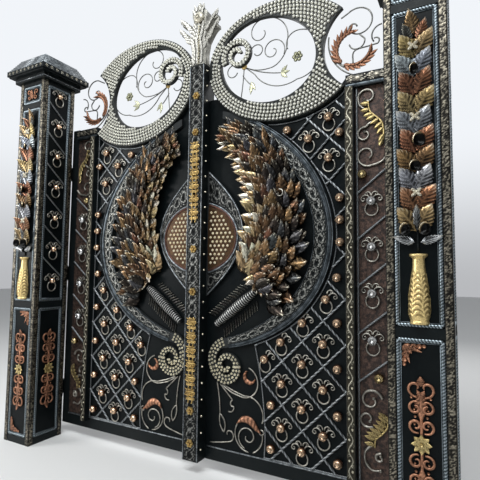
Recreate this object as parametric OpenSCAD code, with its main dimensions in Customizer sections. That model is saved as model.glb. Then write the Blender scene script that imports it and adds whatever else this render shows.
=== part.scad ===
// Double-leaf ornamental wrought iron driveway gate, hung on two cladded box piers.
// Millimetres. X runs along the gate, Y runs inwards from the road, Z is up.
// The origin is the centre of the left pier's flat base.

/* [Piers] */
// Clear width between the two piers
opening_w = 3000; // [2900:20:3200]
// Width of one pier seen from the road
pier_w = 336; // [320:4:380]
// Depth of one pier
pier_d = 340; // [310:5:370]
// Height of a pier up to the underside of its cap
pier_h = 3290; // [3250:10:3400]
// How far the eaves of a cap stand out from the pier
eave = 90; // [70:5:100]

/* [Leaves] */
// Gap under the closed leaves
under_gap = 96; // [80:4:120]
// Depth of the leaf frame tubes
frame_d = 50; // [40:2:60]
// Width of the outer (hinge) stile
hinge_stile_w = 84; // [80:2:96]
// Height of the bottom rail
bottom_rail_h = 106; // [96:2:116]
// Side of the raised square stile beside the side panel
raised_stile = 58; // [50:1:62]
// Thickness of the panel sheets
sheet_t = 4; // [3:0.5:6]

/* [Ornament] */
// Thickness of the big vine-embossed arc band
arc_t = 24; // [18:1:28]
// Thickness of the oval crown ring plates
ring_t = 36; // [30:1:40]
// Corner to corner size of the lattice diamonds
lattice_pitch = 304; // [300:1:308]
// Width of a lattice bar
lattice_bar = 11; // [8:1:14]
// Width of the wrought scroll bars
scroll_bar = 13; // [10:1:15]
// Leaves along each side of a spray
spray_leaves = 9; // [8:1:11]

/* [Mullion] */
// Width of the centre mullion
mullion_w = 140; // [128:2:144]
// How far the mullion stands out from the leaves
mullion_out = 104; // [90:2:110]

/* [Hinges] */
// Diameter of a hinge pin
pin_d = 20; // [16:1:24]
// Outside diameter of a hinge barrel
barrel_d = 36; // [34:1:40]
// Length of a hinge barrel
barrel_l = 90; // [80:5:110]

/* [Hidden] */
$fn = 32;

half = opening_w / 2;
kx = half / 1500;
pier_gap = 47;
pier_cx = half + pier_w / 2;
pier_cy = -pier_gap - pier_d / 2;
pier_front = -pier_gap - pier_d;
post = 44;
inset = 10;
panel_face = pier_front + inset;
// Cross rails of a pier: bottom, middle, upper and top
pier_rails = [[0, 60], [1190, 1246], [pier_h - 256, pier_h - 206], [pier_h - 34, pier_h]];

leaf_out = half + 45;
stile_in = leaf_out - hinge_stile_w;
leaf_bottom = under_gap;
rail_top = leaf_bottom + bottom_rail_h;
raised_in = half - 315;
raised_out = raised_in + raised_stile;
top_rail_z = 2800;
top_rail_h = 92;
// Gap that lets either leaf swing alone past the other
meeting_gap = 15;

axis_x = leaf_out + 25;
axis_y = frame_d / 2;
fit = 0.05;
hinge_z = [420, 1500, 2480];
lug_t = 14;

// The big oval curves of one leaf, as [centre, half axes, tilt]
arc_outer = [[-97, 1908], [1207, 951], -14.7];
arc_inner = [[-404, 1952], [1377, 959], -12.6];
ring_outer = [[684, 3123], [614, 469], -6.4];
ring_inner = [[579, 3151], [405, 330], -20.5];
notch = [[1378, 3110], [347, 347], 0];
volute = [262, 822];
hook = [334, 3246];

// Placing

module place() translate([pier_cx, -pier_cy, 0]) children();
module on_side(s) place() mirror([s < 0 ? 1 : 0, 0, 0]) children();
// Flat piece drawn in X and Z, from a front face to a rear face
module slab(front, rear) translate([0, rear, 0]) rotate([90, 0, 0]) linear_extrude(rear - front) children();
// The same with all its outlines joined first
module plate(front, rear) slab(front, rear) offset(delta = -0.01) union() children();
// Leaf curves are drawn for a 1500 mm leaf and widened with the opening
module stretch() scale([kx, 1]) children();
module block(x0, x1, y0, y1, z0, z1) translate([x0, y0, z0]) cube([x1 - x0, y1 - y0, z1 - z0]);
// Right leaf: the mullion is its meeting stile. Left leaf: stops short of the mullion
function leaf_in(s) = mullion_w / 2 + (s < 0 ? meeting_gap : 0);

// Curves

function oval_pt(o, grow, t) = let (a = o[1].x + grow, b = o[1].y + grow, c = cos(o[2]), d = sin(o[2])) [
    o[0].x + a * cos(t) * c - b * sin(t) * d,
    o[0].y + a * cos(t) * d + b * sin(t) * c];
function oval_arc(o, grow, t0, t1, n) = [for (i = [0:n]) oval_pt(o, grow, t0 + (t1 - t0) * i / n)];
function spiral(c, r0, r1, a0, a1, n) = [
    for (i = [0:n]) let (t = i / n, r = r0 + (r1 - r0) * t, a = a0 + (a1 - a0) * t)
        [c.x + r * cos(a), c.y + r * sin(a)]];
function side_of(p, i) = let (
    a = p[max(i - 1, 0)], b = p[min(i + 1, len(p) - 1)], d = b - a) [-d.y, d.x] / norm(d);
module oval(o, grow = 0, n = 72) polygon([for (i = [0:n - 1]) oval_pt(o, grow, 360 * i / n)]);
// Flat bar along a path, its width easing from w0 to w1
module ribbon(path, w0, w1) let (n = len(path) - 1) polygon(concat(
    [for (i = [0:n]) path[i] + side_of(path, i) * (w0 + (w1 - w0) * i / n) / 2],
    [for (i = [n:-1:0]) path[i] - side_of(path, i) * (w0 + (w1 - w0) * i / n) / 2]));
module bar(p, q, w) ribbon([p, q], w, w);
// Wrought curl: winds in from a radius to the eye, ending in a round boss
module curl(c, r0, r1, a0, a1, w = scroll_bar) {
    ribbon(spiral(c, r0, r1, a0, a1, ceil(abs(a1 - a0) / 20)), w, w * 0.75);
    translate([c.x + r1 * cos(a1), c.y + r1 * sin(a1)]) circle(d = w * 1.3, $fn = 12);
}
// S or C bar between two curls
module link(p, q, bend, w = scroll_bar) let (d = q - p, m = (p + q) / 2 + bend * [-d.y, d.x] / norm(d))
    ribbon([for (i = [0:10]) let (t = i / 10) p * (1 - t) * (1 - t) + m * 2 * t * (1 - t) + q * t * t], w, w);

// Leaf blade: folded along its midrib, with a toothed edge and a curling tip

function blade_w(t) = 0.25 + 0.75 * sin(180 * pow(t, 0.75)) - 0.25 * t * t;
module blade(length, width, teeth = 3, fold = 0.3, rise = 0.2, thick = 4) {
    n = 2 * teeth;
    mid = [for (k = [0:n]) let (t = k / n) [length * t, 0, rise * length * t * t]];
    edge = [for (k = [0:n - 1]) let (t = k / n, out = k % 2 == 1, w = width * blade_w(t) * (out ? 1 : 0.62))
        [length * (out ? t + 0.12 : t), w, rise * length * t * t - fold * w]];
    m = n + 1;
    top = concat(mid, edge, [for (p = edge) [p.x, -p.y, p.z]]);
    c = len(top);
    sheet = function (o, up) concat(
        [for (k = [0:n - 2], h = [0, 1]) h == 0
            ? (up ? [o + k, k, k + 1] : [o + k, k + 1, k])
            : (up ? [o + k, k + 1, o + k + 1] : [o + k, o + k + 1, k + 1])],
        [up ? [o + n - 1, n - 1, n] : [o + n - 1, n, n - 1]]);
    faces_top = concat(sheet(m, true), sheet(m + n, false));
    faces_low = [for (f = faces_top) [f[2] + c, f[1] + c, f[0] + c]];
    rim_l = [for (k = [0:n - 1]) [m + k, k == n - 1 ? n : m + k + 1]];
    rim_r = [for (k = [0:n - 1]) [m + n + k, k == n - 1 ? n : m + n + k + 1]];
    walls = concat(
        [for (r = rim_l) each [[r[0], r[1], r[1] + c], [r[0], r[1] + c, r[0] + c]]],
        [for (r = rim_r) each [[r[1], r[0], r[0] + c], [r[1], r[0] + c, r[1] + c]]],
        [[0, m, m + c], [0, m + c, c], [m + n, 0, c], [m + n, c, m + n + c]]);
    polyhedron(concat(top, [for (p = top) p - [0, 0, thick]]),
        [for (f = concat(faces_top, faces_low, walls)) [f[2], f[1], f[0]]], convexity = 6);
}
// Blade set on a wall face: at X and Z, lifted off the face, pointing by an angle
module set_blade(x, face, z, lift, angle, pitch, length, width, teeth = 3)
    translate([x, face - lift, z]) rotate([90, 0, 0]) rotate([0, 0, angle]) rotate([0, -pitch, 0]) {
        blade(length, width, teeth);
    }
// Stem through a list of X and Z points, a chain of links between two depths
module stem(path, front, rear, w) for (i = [0:len(path) - 2]) hull() for (c = [path[i], path[i + 1]])
    translate([c.x, (front + rear) / 2, c.y]) cube([w, rear - front, w], center = true);

// Piers

module pier_frame(s) color("#5f6b6f") on_side(s) {
    for (x = [half, half + pier_w - post], y = [pier_front, -pier_gap - post])
        block(x, x + post, y, y + post, 0, pier_h);
    for (r = pier_rails) {
        block(half + post - 1, half + pier_w - post + 1, pier_front + 2, panel_face, r[0], r[1]);
        block(half + post - 1, half + pier_w - post + 1, -pier_gap - inset, -pier_gap - 2, r[0], r[1]);
        if (r != pier_rails[2]) for (x = [half + 2, half + pier_w - inset])
            block(x, x + inset - 2, pier_front + post - 1, -pier_gap - post + 1, r[0], r[1]);
    }
    for (z = hinge_z, t = [-1, 1]) hinge_lug(z + t * (barrel_l / 2 + 0.5 + lug_t / 2));
}
module hinge_lug(z) difference() {
    union() {
        translate([axis_x, axis_y, z - lug_t / 2]) cylinder(d = barrel_d, h = lug_t);
        block(axis_x - barrel_d / 2, axis_x + barrel_d / 2, -pier_gap - 1, axis_y, z - lug_t / 2, z + lug_t / 2);
        block(half + 8, axis_x + 34, -pier_gap, -pier_gap + 10, z - 24, z + 24);
    }
    translate([axis_x, axis_y, z - lug_t]) cylinder(r = pin_d / 2 + fit, h = lug_t * 2);
}
module hinge_pins(s) color("#3a3f42") on_side(s) for (z = hinge_z)
    translate([axis_x, axis_y, z - barrel_l / 2 - lug_t - 8]) {
        cylinder(d = pin_d, h = barrel_l + 2 * lug_t + 9);
        translate([0, 0, barrel_l + 2 * lug_t + 9]) cylinder(d = pin_d + 8, h = 8);
    }
module pier_panels(s) color("#33454d") on_side(s) {
    block(half + post, half + pier_w - post, panel_face, panel_face + sheet_t, 0, pier_h);
    block(half + post, half + pier_w - post, -pier_gap - inset - sheet_t, -pier_gap - inset, 0, pier_h);
    for (x = [half + inset, half + pier_w - inset - sheet_t])
        block(x, x + sheet_t, pier_front + post, -pier_gap - post, 0, pier_h);
}
// Raised rope border inside a panel, drawn across u and z
module border(w, z0, z1, b = 16) difference() {
    translate([-w / 2, z0]) square([w, z1 - z0]);
    translate([-w / 2 + b, z0 + b]) square([w - 2 * b, z1 - z0 - 2 * b]);
}
module panel_borders(w) for (i = [0:2]) border(w, pier_rails[i][1], pier_rails[i + 1][0]);
// Stands a drawing made across u and z on the reveal (0) or the outer side (1)
module on_flank(outer) translate([outer ? half + pier_w - inset : half + inset, pier_cy, 0])
    rotate([0, 0, outer ? 90 : -90]) children();
// Flank panels: borders on both, and on the one that faces the drive bars with a ball in each bay
module flank_trim(outer) {
    w = pier_d - 2 * post;
    plate(-inset, 0) {
        border(w, pier_rails[0][1], pier_rails[1][0]);
        border(w, pier_rails[1][1], pier_rails[3][0]);
        if (!outer) {
            for (i = [0:5]) let (z = pier_h - 183 - i * 290) bar([w / 2 - 8, z], [8 - w / 2, z - 200], 12);
            translate([0, 640]) column();
        }
    }
    if (!outer) for (i = [0:6]) knob(0, pier_h - 118 - i * 290, 27);
}
module pier_trim(s) color("#8b9496") on_side(s) {
    translate([pier_cx, panel_face, 0]) plate(-inset - 2, 0) panel_borders(pier_w - 2 * post);
    for (o = [false, true]) on_flank(o) flank_trim(o);
}
module cap(s) color("#44555c") on_side(s) translate([pier_cx, pier_cy, pier_h]) {
    step = [[36, 0, 50], [eave - 14, 50, 64], [eave, 64, 112]];
    for (p = step) translate([-pier_w / 2 - p[0], -pier_d / 2 - p[0], p[1]])
        cube([pier_w + 2 * p[0], pier_d + 2 * p[0], p[2] - p[1]]);
    translate([0, 0, 112]) linear_extrude(118, scale = 0.7)
        square([pier_w + 2 * eave - 24, pier_d + 2 * eave - 24], center = true);
}
module garland(s) color("#8a6a4c") on_side(s) {
    n = 12;
    step = (pier_rails[2][0] - 52 - 1742) / n;
    for (i = [0:n - 1], t = [-1, 1])
        set_blade(pier_cx + t * 4, panel_face, 1742 + i * step + (t > 0 ? step / 2 : 0), 22,
            90 - t * (40 - i % 3 * 3), 10, i % 2 == 0 ? 144 : 134, 70, 2);
    for (t = [-1, 1]) set_blade(pier_cx + t * 4, panel_face, 1690, 22, 90 - t * 66, 6, 140, 34, 3);
    stem([for (i = [0:8]) [pier_cx, 1656 + i * (pier_rails[2][0] - 50 - 1656) / 8]], panel_face - 24, panel_face, 20);
}
module vase(s) color("#c9b98a") on_side(s) translate([pier_cx, panel_face, 1266])
    rotate([0, 0, 180]) rotate_extrude(angle = 180, $fn = 64) polygon([
        [0, 0], [52, 0], [52, 12], [49, 18], [56, 34], [59, 80], [57, 140],
        [50, 200], [42, 262], [37, 310], [36, 350], [52, 366], [52, 376], [0, 376]]);
// Flat filigree column with a crown at each end and a daisy in the middle, and two corner brackets
module filigrees(s) color("#9a6b50") on_side(s) {
    plate(panel_face - 12, panel_face) {
        translate([pier_cx, 640]) column();
        for (t = [-1, 1]) translate([pier_cx, t > 0 ? 1190 - 16 : 60 + 16]) mirror([t > 0 ? 0 : 1, 0, 0])
            mirror([0, t > 0 ? 0 : 1, 0]) translate([-pier_w / 2 + post + 16, 0])
            polygon([[0, 0], [92, 0], [84, -22], [56, -30], [40, -52], [22, -62], [14, -96], [0, -96]]);
        translate([pier_cx, (pier_rails[2][1] + pier_rails[3][0]) / 2]) fleur(52);
    }
    translate([pier_cx, panel_face, 640]) rotate([90, 0, 0]) cylinder(d = 46, h = 26);
}
module column() {
    circle(50, $fn = 16);
    for (m = [0, 1]) mirror([0, m]) difference() {
        union() {
            oval([[0, 176], [19, 176], 0], 0, 20);
            oval([[0, 292], [50, 40], 0], 0, 16);
            oval([[0, 226], [33, 44], 0], 0, 14);
            for (t = [-1, 1], p = [[28, 172], [28, 110]]) translate([t * p.x, p.y]) circle(30, $fn = 12);
        }
        for (t = [-1, 1]) translate([t * 25, 296]) circle(11, $fn = 8);
        for (t = [-1, 1], p = [[31, 174], [31, 112]]) translate([t * p.x, p.y]) circle(11, $fn = 8);
    }
}
module filigree(z, h, w) difference() {
    union() {
        oval([[0, z + h * 0.5], [w * 0.42, h * 0.5], 0], 0, 16);
        oval([[0, z + h * 0.72], [w, h * 0.2], 0], 0, 16);
        oval([[0, z + h * 0.3], [w * 0.86, h * 0.2], 0], 0, 16);
    }
    for (t = [-1, 1]) translate([t * w * 0.55, z + h * 0.72]) circle(d = w * 0.42, $fn = 10);
    for (t = [-1, 1]) translate([t * w * 0.48, z + h * 0.3]) circle(d = w * 0.4, $fn = 10);
}
module fleur(r) {
    oval([[0, 0], [r * 0.2, r], 0], 0, 24);
    for (t = [-1, 1]) {
        curl([t * r * 0.62, r * 0.2], r * 0.5, r * 0.16, t > 0 ? 200 : -20, t > 0 ? -150 : 330, 9);
        curl([t * r * 0.5, -r * 0.52], r * 0.36, r * 0.14, t > 0 ? 160 : 20, t > 0 ? 430 : -250, 8);
    }
    bar([-r, 0], [r, 0], 8);
}

// Leaves

module leaf_frame(s) color("#26343a") on_side(s) {
    difference() {
        union() {
            block(stile_in, leaf_out, 0, frame_d, leaf_bottom, top_rail_z + top_rail_h + 20);
            block(leaf_in(s) + (s < 0 ? 39 : 0), stile_in + 1, 0, frame_d, leaf_bottom, rail_top);
            block(raised_in, stile_in + 1, 0, frame_d, top_rail_z, top_rail_z + top_rail_h);
            block(raised_in, raised_in + 50, sheet_t, frame_d, rail_top - 1, top_rail_z + 1);
            block(leaf_in(s) + (s < 0 ? 39 : 0), stile_in + 1, sheet_t + 6, frame_d, 1290, 1340);
            if (s < 0) block(leaf_in(s), leaf_in(s) + 40, 0, frame_d, leaf_bottom, 2760);
            for (z = hinge_z) hinge_barrel(z);
        }
        for (z = hinge_z) translate([axis_x, axis_y, z - barrel_l])
            cylinder(r = pin_d / 2 + fit, h = barrel_l * 2);
    }
    block(raised_in, raised_out, -raised_stile, 0, rail_top - 30, top_rail_z + 1);
    block(lobe_x, stile_in + 1, -30, 0, top_rail_z, top_rail_z + top_rail_h);
}
lobe_x = raised_in;
module hinge_barrel(z) {
    translate([axis_x, axis_y, z - barrel_l / 2]) cylinder(d = barrel_d, h = barrel_l);
    block(leaf_out - 1, axis_x, axis_y - 9, axis_y + 9, z - barrel_l / 2, z + barrel_l / 2);
}
// One steel sheet closes the leaf, its head cut to the foot of the crown ring
module back_sheet(s) color("#31474d") on_side(s) plate(0, sheet_t) difference() {
    x0 = leaf_in(s) + (s < 0 ? 40 : 0);
    translate([x0, rail_top]) square([raised_in + 25 - x0, 2990 - rail_top]);
    stretch() oval(ring_outer, -42);
    translate([x0 - 1, 2930]) square([60, 100]);
    translate([raised_in - 1, top_rail_z]) square([60, 400]);
}
module side_sheet(s) color("#4a3f38") on_side(s)
    block(raised_in + 25, stile_in, 0, sheet_t, rail_top, top_rail_z);
module arc_band(s) color("#8f989b") on_side(s) plate(-arc_t, 0) {
    difference() {
        stretch() arc_shape();
        translate([-3000, 0]) square([3000 + leaf_in(s) + 2, 4000]);
    }
}
module arc_shape() {
    difference() {
        oval(arc_outer, 0, 100);
        oval(arc_inner, 0, 100);
        oval(ring_outer, 0.3, 110);
        translate([-3000, 0]) square([3200, 4000]);
    }
    volute_shape();
}
module volute_shape() {
    ribbon(spiral(volute, 178, 112, 100, 190, 12), 74, 74);
    ribbon(spiral(volute, 112, 92, 190, 360, 16), 74, 54);
    ribbon(spiral(volute, 92, 22, 360, 690, 24), 54, 18);
}
module crown_ring(s) color("#b9ad92") on_side(s) plate(-ring_t, 0) difference() {
    stretch() {
        difference() {
            oval(ring_outer, 0, 110);
            oval(ring_inner, 0, 90);
            oval(notch, 0, 80);
        }
        ribbon(spiral(hook, 128, 104, 205, 90, 12), 52, 44);
        ribbon(spiral(hook, 104, 88, 90, -70, 14), 44, 40);
        ribbon(spiral(hook, 88, 26, -70, -330, 20), 40, 22);
    }
    translate([-3000, 0]) square([3000 + leaf_in(s) + 2, 4000]);
    translate([raised_in - 0.3, 2000]) square([400, top_rail_z + top_rail_h - 2000 + 0.3]);
}
module crown_scrolls(s) color("#8b9091") on_side(s) plate(0, 8) difference() {
    stretch() {
        bouquet([372, 3160]);
        side_scroll();
    }
    square([3000, top_rail_z + top_rail_h]);
}
// Wires that spring from under the hook and fill the opening of the ring
module bouquet(knot, w = 9) {
    link(knot, [700, 3148], -98, w);
    link([698, 3146], [660, 3510], -68, w);
    curl([592, 3234], 118, 40, -66, 250, w);
    link(knot, [690, 2950], -62, w);
    link([688, 2950], [995, 3200], -112, w);
    ribbon(spiral([868, 3212], 127, 127, -6, 196, 16), w, w);
    link([747, 3177], [820, 3060], -42, w);
    flower([834, 3060], 52);
    link(knot, [700, 3030], -18, w);
    for (t = [-42, 0, 42]) translate([694, 3030]) rotate(t) oval([[48, 0], [46, 13], 0], 0, 14);
    link([440, 3152], [430, 3312], -60, w);
    curl([440, 3252], 70, 22, 60, -220, w);
    curl([520, 3422], 92, 56, 120, 400, w);
    link(knot, [350, 2860], 20, w);
    link([368, 3040], [440, 2990], 10, w);
    oval([[442, 2948], [16, 50], 0], 0, 14);
    curl([284, 3122], 70, 52, 40, 330, w);
}
// Rosette of five round petals
module flower(c, r) translate(c) for (i = [0:4]) rotate(90 + 72 * i)
    translate([r * 0.55, 0]) circle(r = r * 0.45, $fn = 8);
// C shaped scroll with its acanthus, standing on the top rail inside the ring's notch
module side_scroll(w = 12) {
    ribbon(spiral([1236, 3078], 146, 146, 95, 332, 18), 16, 26);
    link([1024, 3125], [1250, 2888], -82, w);
    link([1226, 3224], [1258, 3096], 40, w);
    curl([1226, 3110], 36, 22, -20, -250, w);
    curl([1290, 3264], 92, 92, 142, -62, w);
    link([1334, 3184], [1212, 3208], 26, w);
    curl([1272, 3226], 40, 20, 190, 40, w);
    link([1327, 3096], [1428, 3216], 66, w);
    link([1256, 3096], [1400, 3088], 20, w);
    curl([1392, 3118], 34, 22, -70, 130, w);
}
module lattice(s) color("#9aa0a0") on_side(s) plate(-8, 0) {
    intersection() {
        diamonds(866, 442);
        lattice_zone(s);
        translate([0, 0]) square([3000, 1840]);
    }
    intersection() {
        diamonds(912, 502);
        lattice_zone(s);
        translate([0, 1840]) square([3000, 3000]);
    }
    difference() {
        lattice_zone(s);
        offset(delta = -9) lattice_zone(s);
    }
}
// Bars at 45 degrees whose cells are centred on X and Z
module diamonds(x, z) for (k = [0:9], t = [-1, 1]) let (m = z - lattice_pitch / 2 + (k - 0.5) * lattice_pitch)
    bar([x * kx - 800, m - t * 800], [x * kx + 800, m + t * 800], lattice_bar);
module lattice_zone(s) difference() {
    translate([486 * kx, rail_top + 0.3]) square([raised_in - 0.3 - 486 * kx, 2800 - rail_top]);
    stretch() oval(arc_outer, 14, 100);
    stretch() oval(ring_outer, 14);
    stretch() polygon([for (i = [0:12]) [580 - 95 * pow(i / 12, 2), 300 + i * 60], [400, 1020], [400, 300]]);
    stretch() polygon([[400, 200], [572, 200], [580, 300], [400, 300]]);
}
module knob(x, z, r) translate([x, 0, z]) rotate([90, 0, 0]) {
    cylinder(r = r * 0.6, h = r * 0.8);
    translate([0, 0, r * 0.8]) intersection() {
        sphere(r = r);
        translate([-r, -r, -r * 0.5]) cube([2 * r, 2 * r, 2 * r]);
    }
}
// Ball over a pendant ring, with two pairs of curled horns
module knob_ring(x, z, horns = [-1, 1]) {
    knob(x, z, 29);
    plate(-10, 0) translate([x, z]) {
        difference() {
            translate([0, -50]) circle(r = 46, $fn = 12);
            translate([0, -50]) circle(r = 37, $fn = 12);
            circle(r = 17.8);
        }
        for (t = horns) {
            ribbon([for (a = [0:3]) [t * (50 - 31 * cos(a * 75)), 16 + 30 * sin(a * 75)]], 9, 7);
            ribbon([for (a = [0:2]) [t * (34 - 18 * cos(a * 85)), 46 + 20 * sin(a * 85)]], 9, 7);
        }
    }
}
module knob_rings(s) color("#a97f5f") on_side(s) {
    h = lattice_pitch / 2;
    x0 = 866 * kx;
    for (j = [0:2]) knob_ring(x0, 290 + 2 * h * j + (j == 0 ? 20 : 0));
    for (j = [0:1], t = [-1, 1]) knob_ring(x0 + t * h, 442 + 2 * h * j);
    knob_ring(x0 + 4, 1182, [1]);
    knob_ring(x0 + h, 1050);
    knob_ring(x0 - h - 6, 1037, [1]);
    knob_ring(x0 + h + 21, 1352, [1]);
    knob_ring(582 * kx, 903, [1]);
    for (p = [[0, 2333], [-h + 4, 2487], [0, 2624]]) knob_ring(1062 * kx + p.x, p.y);
    for (p = [[1122, 285], [1120, 588], [1112, 895], [1110, 1203], [1126, 1520], [1144, 1742], [1142, 1894],
        [1138, 2062], [1134, 2492], [754, 2572], [634, 590], [638, 285]]) knob(p.x * kx, p.y, 29);
}
// The narrow outer panel: acanthus scrolls above, knob rings between diagonals, scrolls below
module side_scrolls(s) color("#8b8378") on_side(s) {
    x0 = raised_out + 0.3;
    x1 = stile_in - 0.3;
    xm = (x0 + x1) / 2;
    plate(-10, 0) difference() {
        union() {
            for (z = [827, 1143, 1449, 1763, 2066]) bar([x0 - 9, z - 8], [x1 + 9, z + 168], 12);
            curl([xm - 34, 2712], 54, 22, 230, -90);
            link([xm - 68, 2676], [xm + 96, 2506], -26);
            curl([xm - 44, 2462], 46, 18, 150, 420);
            link([xm - 70, 2490], [xm + 40, 2560], 20);
            curl([xm - 18, 2320], 74, 26, 200, 470);
            link([xm - 86, 2294], [xm + 108, 2310], -70);
            curl([xm - 14, 716], 68, 30, -60, 300);
            link([xm + 18, 656], [xm - 66, 560], 30);
            curl([xm - 44, 604], 50, 22, 240, 20);
            link([xm - 60, 560], [xm + 60, 396], -40);
            curl([xm + 20, 460], 70, 30, -60, 220);
            curl([xm - 40, 300], 62, 24, 20, 320);
            link([xm + 18, 320], [xm + 70, 400], -20);
        }
        translate([x0 - 60, 0]) square([60, 4000]);
        translate([x1, 0]) square([60, 4000]);
    }
    for (z = [1099, 1413, 1713, 2004]) knob_ring(xm - 4, z);
    for (p = [[-60, 2192], [34, 868]]) knob(xm + p.x, p.y, 29);
}
spine = [[80 * kx, 1900], [600 * kx, 740], 0];
// Bush of blades on a curved stem: a row to each side and one along the middle
module leaf_spray(s) color("#8c6f48") on_side(s) {
    for (i = [0:spray_leaves]) let (
        u = i / spray_leaves, a = -36 + 106 * u, p = oval_pt(spine, 0, a), q = oval_pt(spine, 0, a + 4)) {
        set_blade(p.x, 0, p.y, 60, 196 - 40 * u, 8, 266 - 138 * u * u * u, 92, 2);
        set_blade(p.x, 0, p.y, 64, a + 18 - 50 * (1 - u), 9, 276 - 110 * u * u, 90, 2);
        if (i < spray_leaves) set_blade(q.x, 0, q.y, 66, a + 84, 22, 178, 84, 2);
    }
    stem(oval_arc(spine, 0, -38, 72, 12), -70, -28, 28);
    for (a = [-30, 10, 50]) let (p = oval_pt(spine, 0, a))
        translate([p.x, -46, p.y]) rotate([-90, 0, 0]) cylinder(r = 12, h = 46, $fn = 8);
}
// Ridged horn that the spray springs from
module coil_stem(s) color("#9aa0a0") on_side(s) let (p = [506 * kx, 1392], q = [168 * kx, 1123], d = q - p)
    translate([p.x, -24.3, p.y]) rotate([0, 90 - atan2(d.y, d.x), 0]) rotate_extrude()
        polygon(concat([[0, 0]], [for (i = [0:44]) [24 - i * 0.14 - (i % 2) * 4, norm(d) * i / 44]], [[0, norm(d)]]));
medallion_z = 1840;
module ogee(s) let (n = 30, a = leaf_in(s) + 0.3) polygon(concat([[a, medallion_z + 500], [a, medallion_z - 500]],
    [for (i = [0:n]) let (t = -1 + 2 * i / n) [a + (394 * kx - a) * pow((1 + cos(180 * t)) / 2, 0.47),
        medallion_z + 500 * t]]));
module medallion(s) color("#7f8688") on_side(s) {
    plate(-arc_t, 0) ogee(s);
    plate(-arc_t - 6, -arc_t) intersection() {
        stretch() oval([[0, 1800], [340, 270], 0]);
        translate([leaf_in(s) + 8, 1200]) square([500, 1300]);
    }
}
// Wire scrolls with copper crescents between the volute, the lattice and the bottom rail
module lower_scrolls(s) color("#8b9091") on_side(s) plate(-10, 0) difference() {
    stretch() {
        link([196, 690], [473, 623], -46);
        link([470, 622], [508, 740], -30);
        curl([450, 745], 58, 40, 10, 290);
        polygon(concat(spiral([452, 745], 60, 60, -110, 70, 10), spiral([468, 742], 44, 44, 70, -110, 10)));
        link([236, 670], [470, 574], 14);
        link([466, 576], [560, 335], 44);
        link([152, 667], [198, 464], -14);
        link([198, 466], [256, 318], 42);
        link([198, 466], [256, 318], -42);
        link([197, 643], [313, 555], 10);
        link([376, 430], [553, 384], 78, 16);
        link([376, 430], [550, 386], 44, 10);
        curl([536, 350], 34, 18, 60, 300, 10);
        curl([444, 348], 54, 22, -30, 300);
        link([383, 435], [351, 262], -26);
        link([350, 264], [478, 250], -20);
        curl([300, 300], 52, 24, -150, 120);
    }
    offset(delta = 0.3) stretch() volute_shape();
    translate([-3000, 0]) square([3000 + leaf_in(s) + 2, 4000]);
    square([3000, rail_top + 0.3]);
}
module mullion() color("#6d777a") place() difference() {
    block(-mullion_w / 2, mullion_w / 2, -mullion_out, frame_d, leaf_bottom, 3205);
    block(-mullion_w / 2 + 5, mullion_w / 2 - 5, -mullion_out + 5, frame_d - 5, leaf_bottom - 1, 3200);
}
module mullion_ornaments() color("#b9974f") place() plate(-mullion_out - 12, -mullion_out) {
    for (z = [530, 1920]) for (i = [0:2]) filigree(z + i * 215, 220, 40);
    for (z = [2945, 2645, 1708, 1374, 470, 230]) flower([0, z], 44);
}
module finial() color("#b9ad92") place() {
    plate(-82, -22) {
        for (t = [-1, 1]) polygon([[0, 3205], [t * 69, 3205], [t * 64, 3300], [t * 82, 3400], [t * 60, 3500],
            [t * 56, 3590], [t * 74, 3650], [0, 3745]]);
        for (t = [-1, 1], a = [[80, 3400, 192, 3512], [50, 3480, 186, 3594]])
            ribbon([for (i = [0:8]) [t * (a[0] + (a[2] - a[0]) * i / 8 - 20), a[1] + (a[3] - a[1]) * sin(i * 11.25)]], 44, 26);
    }
    translate([0, -82, 3625]) rotate([90, 0, 0]) cylinder(r1 = 44, r2 = 32, h = 22);
}
pier_frame(-1);  // left_pier_frame
pier_frame(1);  // right_pier_frame
pier_panels(-1);  // left_pier_panels
pier_panels(1);  // right_pier_panels
pier_trim(-1);  // left_pier_trim
pier_trim(1);  // right_pier_trim
cap(-1);  // left_cap
cap(1);  // right_cap
garland(-1);  // left_garland
garland(1);  // right_garland
vase(-1);  // left_vase
vase(1);  // right_vase
filigrees(-1);  // left_filigrees
filigrees(1);  // right_filigrees
hinge_pins(-1);  // left_hinge_pins
hinge_pins(1);  // right_hinge_pins
leaf_frame(-1);  // left_leaf_frame
leaf_frame(1);  // right_leaf_frame
back_sheet(-1);  // left_back_sheet
back_sheet(1);  // right_back_sheet
side_sheet(-1);  // left_side_sheet
side_sheet(1);  // right_side_sheet
arc_band(-1);  // left_arc_band
arc_band(1);  // right_arc_band
crown_ring(-1);  // left_crown_ring
crown_ring(1);  // right_crown_ring
crown_scrolls(-1);  // left_crown_scrolls
crown_scrolls(1);  // right_crown_scrolls
lattice(-1);  // left_lattice
lattice(1);  // right_lattice
knob_rings(-1);  // left_knob_rings
knob_rings(1);  // right_knob_rings
side_scrolls(-1);  // left_side_scrolls
side_scrolls(1);  // right_side_scrolls
leaf_spray(-1);  // left_leaf_spray
leaf_spray(1);  // right_leaf_spray
coil_stem(-1);  // left_coil_stem
coil_stem(1);  // right_coil_stem
medallion(-1);  // left_medallion
medallion(1);  // right_medallion
lower_scrolls(-1);  // left_lower_scrolls
lower_scrolls(1);  // right_lower_scrolls
mullion();
mullion_ornaments();
finial();
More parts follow.
